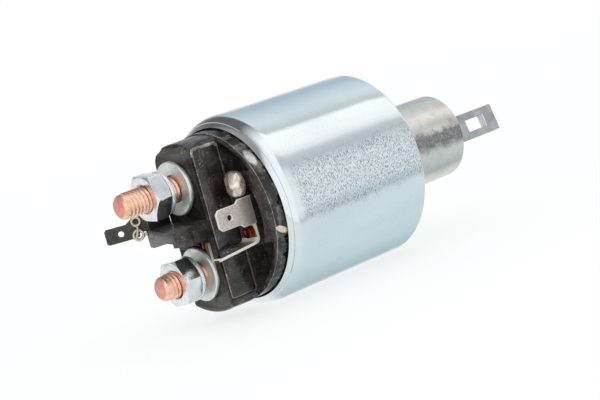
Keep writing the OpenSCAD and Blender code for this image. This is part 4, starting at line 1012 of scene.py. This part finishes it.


# springs: round wire at its real pitch; a spring on a joint gets a mesh of its own
springs = [
    dict(name="returnSpring", node="return_spring", low=-35.95, high=-9.45, r=7.5, wire=1.4, coils=8,
         body="housing", joint="plunger_slide", anchor=-36.0, keep=0.594),
    dict(name="linkSpring", node="link_spring", low=5.35, high=31.75, r=8.3, wire=2.0, coils=7,
         body="plunger", joint="link_slide", anchor=31.8, keep=0.70),
    dict(name="contactSpring", node="contact_spring", low=-65.8, high=-56.45, r=4.3, wire=0.8, coils=5,
         body="housing", joint="contact_slide", anchor=-65.85, keep=0.77),
    dict(name="overtravelSpring", node="overtravel_spring", low=-51.25, high=-47.35, r=3.1, wire=0.8, coils=2,
         body="contact", joint=None),
]


def makeSpring(q):
    # a ring of wire, square to its helix, turned on into coils
    count = q["coils"] * 24
    rise = q["high"] - q["low"] - q["wire"]
    slope = math.atan(rise / (q["coils"] * math.tau * q["r"]))
    bm = bmesh.new()
    bmesh.ops.create_circle(bm, segments=14, radius=q["wire"] / 2)
    upright = Matrix.Rotation(math.pi / 2, 3, "X")
    bmesh.ops.rotate(bm, cent=(0, 0, 0), matrix=Matrix.Rotation(-slope, 3, "Z") @ upright, verts=bm.verts)
    bmesh.ops.translate(bm, vec=(q["low"] + q["wire"] / 2, 0, q["r"]), verts=bm.verts)
    bmesh.ops.rotate(bm, cent=(0, 0, 0), matrix=upright.inverted(), verts=bm.verts)
    bmesh.ops.spin(bm, geom=bm.verts[:] + bm.edges[:], cent=(0, 0, 0), axis=(1, 0, 0),
                   dvec=(rise / count, 0, 0), angle=math.tau * q["coils"], steps=count)
    bmesh.ops.remove_doubles(bm, verts=bm.verts, dist=0.001)
    bmesh.ops.holes_fill(bm, edges=[e for e in bm.edges if e.is_boundary], sides=0)
    piece = settle(bm, q["name"], q["body"], "spring", [q["node"]], sharp=60)
    if q["joint"]:
        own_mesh(piece)


for spring in springs:
    makeSpring(spring)
print("springs made")


# hidden pieces keep their CAD shape and get their real finishes
inner = dict(guide_tube="brass", coil_bobbin="nylon", pull_in_winding="pullIn", hold_in_winding="holdIn",
             winding_wrap="paper", core_plate="core", core_plug="core", cap_gasket="rubber", link_head="core",
             contact_rod="rod", rod_sleeve="fibre", rod_bush="fibre", contact_bridge="contactCopper",
             rod_clip="spring")
for node, finish in inner.items():
    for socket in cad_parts[node].material_slots:
        socket.material = finishes[finish]
print("inner pieces finished:", len(inner))
